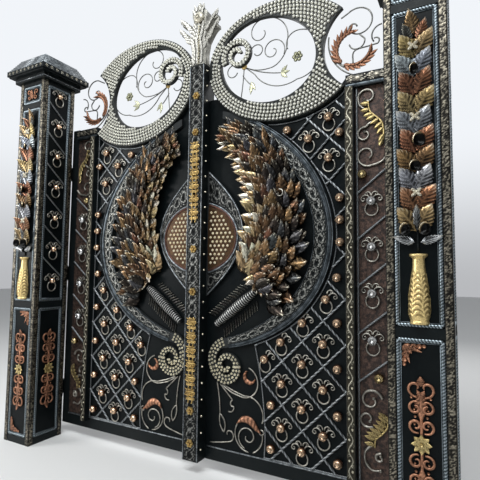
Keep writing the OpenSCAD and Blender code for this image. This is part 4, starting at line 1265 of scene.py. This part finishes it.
PANEL_LEFT, PANEL_RIGHT = RAISED_OUT + 0.3, STILE_IN - 0.3
PANEL_X = (PANEL_LEFT + PANEL_RIGHT) / 2


def panel_scrolls():
    """Forged scrolls above and below the rings, each with a ball at its eye."""
    x = PANEL_X
    runs = [chain(smooth([(x - 40, 2636), (x - 76, 2672), (x - 86, 2716)])[:-1],
                  spiral((x - 24, 2724), 62, 24, 180, -130)),
            chain(smooth([(x + 6, 2548), (x - 18, 2534), (x - 34, 2518)])[:-1],
                  spiral((x - 46, 2466), 52, 20, 78, 440)),
            chain(smooth([(x + 98, 2308), (x + 66, 2272), (x + 14, 2252)])[:-1],
                  spiral((x - 30, 2322), 78, 26, -62, -400)),
            spiral((x - 20, 720), 74, 22, 14, 400),
            chain(smooth([(x + 10, 520), (x - 14, 548)])[:-1], spiral((x - 44, 602), 54, 20, -56, -400)),
            smooth([(x - 6, 452), (x - 56, 404), (x - 60, 340), (x - 20, 292), (x + 34, 296)]),
            spiral((x + 30, 372), 30, 12, 70, 420)]
    forms = []
    for run in runs:
        path = even(run, 8.0)
        forms.append(tube(path, np.linspace(9.0, 6.0, len(path)), -7.0, 8, flat=1.1))
    return joined(forms + [balls_at([run[-1] for run in runs], 10.0, -9.0)])


BAR_STEP, RING_STEP = 310.0, 303.0


def panel_bars():
    """Diagonal twisted bars across the panel, and an upright one beside the raised stile."""
    bars = [tube(straight(PANEL_LEFT + 4, z - 4, PANEL_RIGHT - 4, z + 164, 9.0),
                 7.6, -7.0, 8, lobes=4, pitch=150.0, cut=0.16)
            for z in 827 + BAR_STEP * np.arange(5)]
    x = PANEL_LEFT + 12
    bars.append(tube(straight(x, RAIL_TOP, x, TOP_RAIL, 9.0), 8.0, -6.0, 8, lobes=4, pitch=120.0, cut=0.18))
    return joined(bars)


def plume(points, lobes, first, last, reach, flip):
    """A tapered stem with lobes on one side of it, whose direction swings from first to last degrees."""
    stem = smooth(points)
    spots = stem[(np.linspace(0.08, 0.92, lobes) * (len(stem) - 1)).astype(int)]
    share = np.linspace(0, 1, lobes)
    length = reach * (0.62 + 0.38 * np.sin(np.pi * (0.15 + 0.7 * share)))
    size = np.stack([length, np.full(lobes, 34.0), np.full(lobes, 33.0)], -1)
    leaves = HOOKED[flip].stamped(placed(spots, -9.0), first + (last - first) * share, size, None, 6.0)
    return joined([tube(stem, np.linspace(5.0, 8.0, len(stem)), -8.0, 7), leaves])


def panel_acanthus():
    """A comb shaped plume under the top scroll and a stacked one beside the lower scrolls."""
    x = PANEL_X
    upper = [(x - 20, 2694), (x - 8, 2622), (x + 34, 2576), (x + 70, 2530), (x + 80, 2450), (x + 64, 2396)]
    lower = [(x, 432), (x + 8, 484), (x + 42, 518), (x + 74, 558), (x + 84, 598), (x + 72, 634)]
    return joined([plume(upper, 9, 168, 238, 66.0, 1), plume(lower, 8, 176, 150, 80.0, -1)])


PANEL_RINGS = [(PANEL_X - 4, 1100 + RING_STEP * k) for k in range(4)]
PANEL_WIRES = joined([panel_scrolls()] + [pendant(x, z, wide=0.86) for x, z in PANEL_RINGS])
publish("side_panel_work", [(PANEL_WIRES, WIRE),
                            (panel_bars(), TWIST), (panel_acanthus(), GOLD_LEAF),
                            (balls_at(PANEL_RINGS), SILVER_BALL),
                            (balls_at([(PANEL_X - 60, 2192), (PANEL_X + 34, 868)]), GOLD_BALL)],
        "leaf", ["side_scrolls"])


# Raised stile, top rail and rope over the bottom rail

VINE_BAY = 65.0


def thin_vine(s, t, half):
    """Slender wavy stem over a grain, with a curl in every bay, in turn to either side."""
    stem = np.exp(-((t - 0.52 * np.sin(np.pi * s / VINE_BAY)) / 0.13) ** 2)
    bay = np.round(s / VINE_BAY)
    u = (s / VINE_BAY - bay) * VINE_BAY / half
    w = t * np.where(bay % 2 == 0, 1.0, -1.0) - 0.40
    r, a = np.hypot(u, w), np.arctan2(w, u)
    curl = np.clip(0.5 + 0.5 * np.cos(2 * np.pi * r / 0.34 - a), 0, 1) ** 2 * np.clip((0.56 - r) / 0.12, 0, 1)
    sand = 0.16 + 0.12 * np.sin(s / 3.3 + 4.0 * t) * np.sin(s / 5.1 - 6.0 * t)
    return np.clip(np.maximum.reduce([stem, 0.85 * curl, sand]), 0, 1)


def stile_relief():
    """Vine up the raised stile, and a pearl in each of its bays."""
    z = np.arange(RAIL_TOP - 26, TOP_RAIL, 6.0)
    relief = band(upright(RAISED_IN + 3, z), upright(RAISED_OUT - 3, z), 15, -58.0, 8.0, thin_vine)
    heights = np.arange(RAIL_TOP + 6, TOP_RAIL - 20, VINE_BAY)
    sway = np.where(np.arange(len(heights)) % 2, 10.0, -10.0)
    spots = np.stack([RAISED_IN + 29 + sway, np.full(len(heights), -60.0), heights], -1)
    return relief, PEARL_DOME.stamped(spots, 0.0, (8.5, 7.5, 8.5))


def vine_with_eyes(s, t, half):
    """The running vine, parted by two lens shaped eyes with a ball in each."""
    vine = running_vine(s, t, 70.0, half)
    for centre in (78.0, 206.0):
        u = np.abs(s - centre) / 38.0
        lens = np.clip((1 - u ** 1.6) - np.abs(t) * 1.1, 0, 1) * 3
        ball = np.clip(1 - ((s - centre) / 13.0) ** 2 - (t * half / 13.0) ** 2, 0, 1) ** 0.5
        vine = np.where(lens > 0, np.maximum(np.clip(lens, 0, 0.35), ball), vine)
    return vine


def top_rail_relief():
    """Vine along the top rail, and a plain strip under it."""
    x = np.arange(RAISED_IN + 4, STILE_IN - 2, 8.0)
    foot, brow, low, high = [np.stack([x, np.full(len(x), z)], -1)
                             for z in (TOP_RAIL + 3, TOP_RAIL + 27, TOP_RAIL + 30, TOP_RAIL_END - 4)]
    return band(low, high, 15, -30.0, 7.0, vine_with_eyes), band(foot, brow, 5, -30.0, 2.5, plain_strip)


STILE, STILE_PEARLS = stile_relief()
RAIL, RAIL_STRIP = top_rail_relief()
RAIL_ROPE = tube(straight(CLEAR_X, RAIL_TOP - 8, STILE_IN, RAIL_TOP - 8, 9.0), 6.0, -2.0, 6,
                 lobes=2, pitch=40.0, cut=0.22)
publish("leaf_embossing", [(STILE, OLIVE_SILVER), (RAIL, SAND_SILVER), (STILE_PEARLS, PEARL),
                           (RAIL_STRIP, PLAIN), (RAIL_ROPE, BAR)], "leaf")


# Scrolls beside the volute

def low_wires():
    """Wires under the coil horn: a drop with a lens, hooks, two brows and a snail in its cradle."""
    drop = link((175, 690), (205, 455), 14)
    lens = [link((205, 455), (240, 325), -36), link((205, 455), (240, 325), 56)]
    foot_hook = chain(link((120, 230), (285, 262), -4), spiral((285, 315), 52, 14, -90, 190))
    arrow = chain([(200, 680), (315, 570)], spiral((320, 545), 25, 25, 110, 250),
                  spiral((290, 515), 36, 34, 20, -110))
    brow = chain([(220, 680), (320, 640)], spiral((440, 480), 138, 126, 102, -18))
    under_brow = chain([(220, 670), (305, 625)], spiral((410, 715), 112, 114, -105, 72))
    cradle = spiral((460, 340), 122, 122, 144, 266)
    snail = spiral((445, 325), 88, 16, 253, -190)
    tail = spiral((440, 365), 122, 152, 0, -72)
    curl = spiral((555, 375), 16, 20, 200, 470)
    return wires([drop, *lens, foot_hook, arrow, brow, under_brow, cradle, snail, tail, curl], 5.2, -6.0)


def crescent(outer, inner, rise_height=12.0):
    """A horn between two paths, arched across and ribbed: height = (rise_height + 1.2 ribs) (1 - v^2)."""
    v = np.linspace(-1, 1, 9)[None]
    share = v[..., None]
    spots = outer[:, None] * (1 + share) / 2 + inner[:, None] * (1 - share) / 2
    arch = 1 - v ** 2
    rib = 0.5 + 0.5 * np.cos(lengths((outer + inner) / 2)[:, None] / 5.0)
    return sheet(placed(spots, -6 - rise_height * arch - 1.2 * rib * arch), 0.4 + 0.5 * rib * arch)


def matched(path, count):
    """As many points of a path as asked for, spread over all of it."""
    return path[np.linspace(0, len(path) - 1, count).astype(int)]


def crescents():
    """Two ribbed horns: one beside the volute that opens away from it, and one over the snail."""
    moon_out = spiral((452, 754), 54, 54, 118, 352, 6.0)
    moon_in = even(spiral((464, 768), 38, 38, 118, 352, 6.0), 4.0)
    upper = even(chain(spiral((435, 390), 84, 86, 168, 25), [(555, 370)]), 7.0)
    under = even(chain(spiral((415, 330), 95, 92, 127, 50), [(510, 376), (555, 366)]), 3.0)
    return joined([crescent(moon_out, matched(moon_in, len(moon_out)), 10.0),
                   crescent(upper, matched(under, len(upper)))])


publish("volute_scrolls", [(low_wires(), WIRE), (crescents(), COPPER_LEAF)], "leaf",
        ["lower_scrolls"])


# Ridged horn under the spray and the dark barbs on both sides of it

BARBS = 15
HORN_TOP, HORN_FOOT = np.array([506.0, 1392.0]), np.array([168.0, 1123.0])


def coil_horn():
    """Ridged bar, thickest in its middle: radius = (24 + 15 sin(pi share^0.8)) (0.74 + 0.30 ridge)."""
    path = even(np.stack([HORN_TOP, HORN_FOOT]), 3.8)
    run = lengths(path)
    share = run / run[-1]
    ridge = 0.5 + 0.5 * np.cos(2 * np.pi * run / 19.0)
    radius = (24 + 15 * np.sin(np.pi * share ** 0.8)) * (0.74 + 0.30 * ridge)
    sides = 14
    form = tube(path, radius, -24.3, sides)
    form.rise = np.append(np.repeat(ridge, sides), [0.5, 0.5])
    return form


def feather():
    """Dark barbs that stand off both sides of the horn, each row a little away from it."""
    s = np.linspace(0.10, 0.92, BARBS)[:, None]
    ahead = (HORN_FOOT - HORN_TOP) / np.linalg.norm(HORN_FOOT - HORN_TOP)
    along = math.degrees(math.atan2(ahead[1], ahead[0]))
    paint = tints([(0.045, 0.045, 0.04), (0.07, 0.065, 0.055)], BARBS, 31)
    forms = []
    for t in (-1, 1):
        spots = HORN_TOP * (1 - s) + HORN_FOOT * s + t * 54 * np.array([-ahead[1], ahead[0]])
        forms.append(HOOKED[-t].stamped(placed(spots, -3.0), along + t * 62, (78.0, 16.0, 17.0), paint, 2.0))
    return joined(forms)


publish("coil_horn", [(coil_horn(), HORN_SILVER), (feather(), LEAF)], "leaf", ["coil_stem"])


# Piers: embossed posts, rope borders, flank work, filigrees, vase and cap

COLUMN_Z = 640


def rods(corners, radius):
    """Level round rods from each corner to the next, each closed at both ends."""
    ends = np.roll(corners, -1, axis=0)
    along = (ends - corners) / np.linalg.norm(ends - corners, axis=1)[:, None]
    side = np.cross(along, (0.0, 0.0, 1.0))
    other = np.cross(along, side)
    a = np.linspace(0, 2 * np.pi, 6, endpoint=False)[None, :, None]
    rings = radius * (np.cos(a) * side[:, None] + np.sin(a) * other[:, None])
    return joined([sheet(np.stack([start + ring, end + ring]), 0.7, wrap=True, caps=True, out=None)
                   for start, end, ring in zip(corners, ends, rings)])


def grain(s, t, half):
    """Sandy grain that leaves the edges of a band bare."""
    return np.random.default_rng(8).random(s.shape) ** 1.4 * (np.abs(t) < 0.93)


def post_face(centre):
    """Close grain up one face of a post, drawn around x = centre on the plane y = 0."""
    z = np.arange(2, PIER_HEIGHT - 1, 6.2)
    half = POST / 2 - 1.5
    return band(upright(centre - half, z), upright(centre + half, z), 7, 0.0, 2.4, grain)


def shifted(form, y):
    """The form moved inwards by y."""
    return Form(form.points + (0.0, y, 0.0), form.faces, form.rise, form.tint)


def post_embossing():
    """Grain on the front and flank faces of the posts."""
    forms = [shifted(post_face(x), PIER_FRONT) for x in (HALF + POST / 2, PIER_OUT - POST / 2)]
    for face_x, out in ((HALF, -1), (PIER_OUT, 1)):
        forms += [flanked(post_face(y), face_x, out) for y in (PIER_FRONT + POST / 2, PIER_BACK - POST / 2)]
    return joined(forms)


publish("post_embossing", [(post_embossing(), GRAIN_SILVER)], "posts")


def rope_frame(x0, x1, z0, z1, y):
    """Thick twisted rope round a panel with a fine round cord inside it."""
    forms = []
    for inset, radius, lobes, pitch, step in ((12.0, 10.5, 2, 34.0, 8.0), (26.0, 2.6, 0, 10.0, 400.0)):
        left, right, low, high = x0 + inset, x1 - inset, z0 + inset, z1 - inset
        corners = [(left, low), (right, low), (right, high), (left, high), (left, low)]
        for start, end in zip(corners, corners[1:]):
            forms.append(tube(straight(*start, *end, step), radius, y, 8 if lobes else 5,
                              lobes=lobes, pitch=pitch, cut=0.22, flat=0.8))
    return joined(forms)


def pier_ropes():
    """Rope frames round the three front panels and round the two on each flank."""
    panels = [(PIER_RAILS[k][1], PIER_RAILS[k + 1][0]) for k in range(3)]
    forms = [rope_frame(HALF + POST, PIER_OUT - POST, low, high, PANEL_FACE - 3) for low, high in panels]
    for face_x, out in ((FLANK_FACE, -1), (PIER_OUT - 10, 1)):
        for low, high in (panels[0], (PIER_RAILS[1][1], PIER_RAILS[3][0])):
            ropes = rope_frame(PIER_FRONT + POST, PIER_BACK - POST, low, high, -3.0)
            forms.append(flanked(ropes, face_x, out))
    return joined(forms)


FLANK_Z = [PIER_HEIGHT - 118 - 290 * k for k in range(7)]


def flank_bars():
    """Twisted bars on the drive side that drop from the front post to the rear post, between the rings."""
    y0, y1 = PIER_FRONT + POST + 24, PIER_BACK - POST - 24
    bars = [tube(straight(y0, z - 78, y1, z - 252, 9.0), 6.4, -5.0, 8, lobes=4, pitch=120.0, cut=0.16)
            for z in FLANK_Z[:6]]
    return flanked(joined(bars), FLANK_FACE, -1)


def flank_rings():
    """Pendant rings and their balls on the drive side."""
    rings = joined([pendant(PIER_Y, z) for z in FLANK_Z])
    balls = balls_at([(PIER_Y, z) for z in FLANK_Z], 27.0, -13.0)
    return flanked(rings, FLANK_FACE, -1), flanked(balls, FLANK_FACE, -1)


FLANK_WIRE, FLANK_BALLS = flank_rings()
publish("pier_ropework", [(pier_ropes(), ROPE), (flank_bars(), TWIST), (FLANK_WIRE, WIRE),
                          (FLANK_BALLS, COPPER_BALL)], "posts", ["pier_trim"])


def corner_bracket(x, z, across, up, y):
    """Scalloped plate that fills a panel corner: knuckles that get smaller along both edges."""
    knuckles = [(30, 30, 31), (62, 19, 21), (19, 62, 21), (90, 15, 17), (15, 90, 17), (113, 12, 13),
                (12, 113, 13)]
    forms = [SMALL_BALL.stamped([(x + across * a, y, z + up * b)], 0.0, (size, 7.0, size))
             for a, b, size in knuckles]
    turns = [turn * across * up + (180 if across < 0 else 0) for turn in (45, 18, 72)]
    forms.append(SMALL_SHELL.stamped([(x + across * 12, y - 5, z + up * 12)] * 3, turns,
                                     [(58.0, 14.0, 26.0)] + [(98.0, 14.0, 22.0)] * 2, None, 2.0))
    return joined(forms)


def half_column(x, z, up, y):
    """From the daisy outwards: two pairs of C curls, a tapered waist, a crown with a leaf at its tip."""
    curves = [(spiral((28, 92), 38, 10, -110, 300, 6.0), 9.0),
              (spiral((30, 184), 36, 10, 115, -290, 6.0), 8.4),
              (spiral((26, 288), 48, 8, -100, 200, 6.0), 9.0)]
    forms = [tube(upright(x, z + up * np.arange(40.0, 261.0, 20.0)), 8.0, y, 8)]
    for t in (-1, 1):
        for curve, wide in curves:
            s = np.linspace(0, 1, len(curve))
            thick = wide * (0.55 + 0.45 * np.sin(np.pi * s)) * (1 - 0.25 * s)
            forms.append(tube(curve * (t, up) + (x, z), thick, y - 2, 8))
        spots = [(x + t * a, y - 4, z + up * b) for a, b in ((30, 140), (48, 238), (34, 100), (35, 177))]
        forms.append(SMALL_BALL.stamped(spots, 0.0, [(8.0, 6.0, 8.0)] * 2 + [(6.5, 6.0, 6.5)] * 2))
    turn = 90 * up
    forms.append(SMALL_SHELL.stamped([(x, y, z + up * 262)], -turn, [(142.0, 30.0, 62.0)]))
    tips = [(x, y - 2, z + up * 296)] + [(x + t * 6, y - 2, z + up * 226) for t in (-1, 1)]
    forms.append(SMALL_SHELL.stamped(tips, [turn, turn - 24 * up, turn + 24 * up],
                                     [(58.0, 26.0, 40.0)] + [(62.0, 26.0, 30.0)] * 2, None, 4.0))
    return joined(forms)


def daisy(x, z, y):
    """Eight gold petals with a bead in the middle."""
    petals = SMALL_SHELL.stamped([(x, y, z)] * 8, np.arange(8) * 45.0, (52.0, 22.0, 36.0), None, 3.0)
    return joined([petals, SMALL_BALL.stamped([(x, y - 8, z)], 0.0, 11.0)])


def column(x, y):
    """A whole column, and the daisy in its middle."""
    return joined([half_column(x, COLUMN_Z, t, y) for t in (-1, 1)]), daisy(x, COLUMN_Z, y - 3)


def s_scroll(x, z, t, y):
    """An S shaped scroll, left of x where t is -1 and right of it where t is 1."""
    path = chain(mirrored_spiral(t, (x + t * 52, z + 24), 26, 7, 200, -160, 5.0)[::-1],
                 mirrored_spiral(t, (x + t * 44, z - 26), 24, 7, 110, 460, 5.0))
    return tube(even(path, 6.0), 5.2, y, 7)


def pier_filigrees():
    """A column on the front and on the drive side, two corner brackets, and the scrolls of the top panel."""
    copper, gold = column(PIER_X, PANEL_FACE - 6)
    side_copper, side_gold = column(PIER_Y, -6.0)
    inset = POST + 30
    z = (PIER_RAILS[2][1] + PIER_RAILS[3][0]) / 2
    coppers = [copper, corner_bracket(HALF + inset, PIER_RAILS[1][0] - 30, 1, -1, PANEL_FACE - 3),
               corner_bracket(PIER_OUT - inset, PIER_RAILS[0][1] + 30, -1, 1, PANEL_FACE - 3),
               flanked(side_copper, FLANK_FACE, -1)]
    coppers += [s_scroll(PIER_X, z, t, PANEL_FACE - 6) for t in (-1, 1)]
    coppers.append(LEAF_SMALL.stamped([(PIER_X, PANEL_FACE - 6, z - 44)], 90, (88.0, 26.0, 34.0), None, 5.0))
    return joined(coppers), joined([gold, flanked(side_gold, FLANK_FACE, -1)])


PIER_COPPER, PIER_GOLD = pier_filigrees()
publish("pier_filigrees", [(PIER_COPPER, COPPER_LEAF), (PIER_GOLD, GOLD_LEAF)], "posts",
        ["filigrees"])


def vase():
    """Half a turned body against the panel: radius(z) from the profile.

    On the belly two upright wavy ridges part rows of arched crescents,
    (0.5 + 0.5 cos 2 pi (z / 27 + 0.5 column + 0.85 w^2))^1.5 with w across a column, -1..1.
    """
    profile = np.array([[0, 0], [49, 0], [49, 12], [45, 18], [51, 34], [54, 80], [52, 140], [45, 200],
                        [37, 256], [32, 310], [31, 350], [47, 366], [47, 376], [0, 376]], float)
    run = lengths(profile)
    s = np.linspace(0, run[-1], 150)
    radius, z = [np.interp(s, run, profile[:, k])[:, None] for k in (0, 1)]
    a = np.linspace(0, np.pi, 61)[None]
    belly = np.clip((z - 30) / 16, 0, 1) * np.clip((288 - z) / 30, 0, 1)
    place = (a / np.pi + 0.03 * np.sin(z / 21.0)) * 3
    column_number, w = np.floor(place), 2 * (place % 1.0) - 1
    droop = (0.5 + 0.5 * np.cos(2 * np.pi * (z / 27.0 + 0.5 * column_number + 0.85 * w ** 2))) ** 1.5
    ridge = np.exp(-((1 - np.abs(w)) / 0.12) ** 2)
    relief = np.clip(0.75 * droop * (1 - ridge) + ridge, 0, 1) * belly
    r = radius + 4.2 * relief * (radius > 30)
    points = np.stack([PIER_X + r * np.cos(a), PANEL_FACE - r * np.sin(a), 1266 + z + 0 * a], -1)
    return sheet(points, 0.70 + 0.30 * relief - 0.40 * (1 - relief) * belly)


publish("gilt_vase", [(vase(), VASE_GOLD)], "posts", ["vase"])


def rosette(radius):
    """Six low petals round a heart, facing the front."""
    spots = placed(polar((0, 0), radius * 0.60, np.arange(6) * 60.0), 0.0)
    petals = PEARL_DOME.stamped(spots, 0.0, (radius * 0.36, 5.0, radius * 0.36))
    return joined([petals, PEARL_DOME.stamped([(0, -1, 0)], 0.0, (radius * 0.3, 8.0, radius * 0.3))])


FLOWER_SEAT = 86.0


def rosette_row(centre):
    """Nine rosettes at the eave's height, drawn around x = centre on the plane y = 0."""
    spots = [(centre + x, 0.0, PIER_HEIGHT + 86) for x in np.linspace(-222, 222, 9)]
    return rosette(18.0).stamped(spots)


def cap_corners(reach_x, reach_y, z):
    """Corners of a level rectangle round the pier's middle."""
    ways = ((-1, -1), (1, -1), (1, 1), (-1, 1))
    return np.array([(PIER_X + i * reach_x, PIER_Y + j * reach_y, z) for i, j in ways])


def cap_dress():
    """Ribs that run round the roof and round both edges of the eaves, and rosettes along them."""
    half_x, half_y = PIER_WIDTH / 2, PIER_DEPTH / 2
    ribs = []
    for share in np.linspace(0.06, 0.94, 7):
        reach_x, reach_y = [(half + 78) * (1 - 0.30 * share) for half in (half_x, half_y)]
        ribs.append(rods(cap_corners(reach_x, reach_y, PIER_HEIGHT + 112 + 118 * share), 7.0))
    for lift, reach in ((20, 36), (108, 88)):
        ribs.append(rods(cap_corners(half_x + reach, half_y + reach, PIER_HEIGHT + lift), 4.0))
    front = rosette_row(PIER_X)
    behind = front.points * (-1, -1, 1) + (2 * PIER_X, PIER_Y + half_y + FLOWER_SEAT, 0)
    flowers = [shifted(front, PIER_Y - half_y - FLOWER_SEAT),
               Form(behind, front.faces, front.rise, front.tint)]
    flowers += [flanked(rosette_row(PIER_Y), PIER_X + out * (half_x + FLOWER_SEAT), out) for out in (-1, 1)]
    return joined(ribs), joined(flowers)


CAP_RIBS, CAP_FLOWERS = cap_dress()
publish("cap_ribs", [(CAP_RIBS, BAR), (CAP_FLOWERS, BUD)], "posts")


# Floor, light and camera

def world_node(world, kind, settings, values):
    """A node of the world's tree. Values are numbers and colours, or outputs that are linked."""
    node = world.node_tree.nodes.new(kind)
    for key, value in settings.items():
        setattr(node, key, value)
    for key, value in values.items():
        if isinstance(value, bpy.types.NodeSocket):
            world.node_tree.links.new(value, node.inputs[key])
        else:
            node.inputs[key].default_value = value
    return node.outputs


def studio():
    """A pale floor under the gate, and a pale sky that shows behind it, darker behind the camera."""
    size = 30.0
    floor = bpy.data.meshes.new("floor")
    corners = [(-size, -size, 0), (size, -size, 0), (size, size, 0), (-size, size, 0)]
    floor.from_pydata(corners, [], [(0, 1, 2, 3)])
    ground = bpy.data.objects.new("floor", floor)
    bpy.context.scene.collection.objects.link(ground)
    ground.location = (MIDDLE_X, LEAF_FACE_Y, 0.0)
    s = Shade("pale_floor")
    floor.materials.append(s.close((0.78, 0.78, 0.77), 0.0, 0.7))
    world = bpy.data.worlds.new("studio")
    world.use_nodes = True
    bpy.context.scene.world = world
    rays = world_node(world, "ShaderNodeLightPath", {}, {})
    shown = rays["Is Camera Ray"]
    for kind in ("Is Glossy Ray", "Is Transmission Ray"):
        shown = world_node(world, "ShaderNodeMath", {"operation": "MAXIMUM"}, {0: shown, 1: rays[kind]})[0]
    strength = world_node(world, "ShaderNodeMapRange", {},
                          {"Value": shown, "To Min": 0.35, "To Max": 0.95})[0]
    direction = world_node(world, "ShaderNodeTexCoord", {}, {})["Generated"]
    parts = world_node(world, "ShaderNodeSeparateXYZ", {}, {0: direction})
    sky = (0.93, 0.96, 1.0, 1.0)
    for axis, low, high, dark in (("Y", -0.75, 0.25, (0.40, 0.42, 0.44, 1.0)),
                                  ("Z", -0.04, 0.30, (0.50, 0.51, 0.53, 1.0))):
        share = world_node(world, "ShaderNodeMapRange", {"interpolation_type": "SMOOTHSTEP"},
                           {"Value": parts[axis], "From Min": low, "From Max": high})[0]
        sky = world_node(world, "ShaderNodeMix", {"data_type": "RGBA"}, {0: share, 6: dark, 7: sky})[2]
    background = world.node_tree.nodes["Background"]
    world.node_tree.links.new(sky, background.inputs["Color"])
    world.node_tree.links.new(strength, background.inputs["Strength"])


def stood(name, data, axes, place):
    """An object of the scene, set by its three axes and its place."""
    rows = np.eye(4)
    rows[:3, :3] = np.array(axes).T
    rows[:3, 3] = place
    holder = bpy.data.objects.new(name, data)
    bpy.context.scene.collection.objects.link(holder)
    holder.matrix_world = Matrix(rows.tolist())
    return holder


def lamp(name, place, aim, size, watts, colour=(1.0, 1.0, 1.0)):
    """A soft rectangular lamp at place that shines towards aim."""
    light = bpy.data.lights.new(name, "AREA")
    light.shape = "RECTANGLE"
    light.size, light.size_y = size
    light.energy = watts
    light.color = colour
    away = np.array(place, float) - np.array(aim, float)
    away /= np.linalg.norm(away)
    side = np.cross((0.0, 0.0, 1.0), away)
    side /= np.linalg.norm(side)
    return stood(name, light, (side, np.cross(away, side), away), place)


def camera():
    """The photograph's view: a person's eye height, turned to the left, a little upwards."""
    eye = (MIDDLE_X + 1.927, LEAF_FACE_Y - 2.890, 1.536)
    turn, lift, roll = math.radians(28.51), math.radians(4.20), math.radians(0.67)
    ahead = np.array([-math.sin(turn) * math.cos(lift), math.cos(turn) * math.cos(lift), math.sin(lift)])
    right = np.cross(ahead, (0.0, 0.0, 1.0))
    right /= np.linalg.norm(right)
    above = np.cross(right, ahead)
    across = right * math.cos(roll) + above * math.sin(roll)
    upwards = above * math.cos(roll) - right * math.sin(roll)
    data = bpy.data.cameras.new("eye_height")
    data.sensor_width = 36.0
    data.lens = data.sensor_width * 428.82 / 480.0
    data.clip_start = 0.05
    bpy.context.scene.camera = stood("eye_height", data, (across, upwards, -ahead), eye)


studio()
lamp("sky_panel", (MIDDLE_X + 0.5, -3.5, 6.5), (MIDDLE_X, 0.2, 1.6), (5.0, 2.5), 400.0, (0.95, 0.98, 1.0))
lamp("fill_left", (MIDDLE_X - 6.0, -4.5, 3.0), (MIDDLE_X, 0.2, 1.8), (2.5, 3.0), 300.0)
lamp("back_panel", (MIDDLE_X, 6.0, 5.0), (MIDDLE_X, 0.2, 1.8), (7.0, 4.0), 150.0)
camera()
bpy.context.scene.view_settings.view_transform = "Standard"
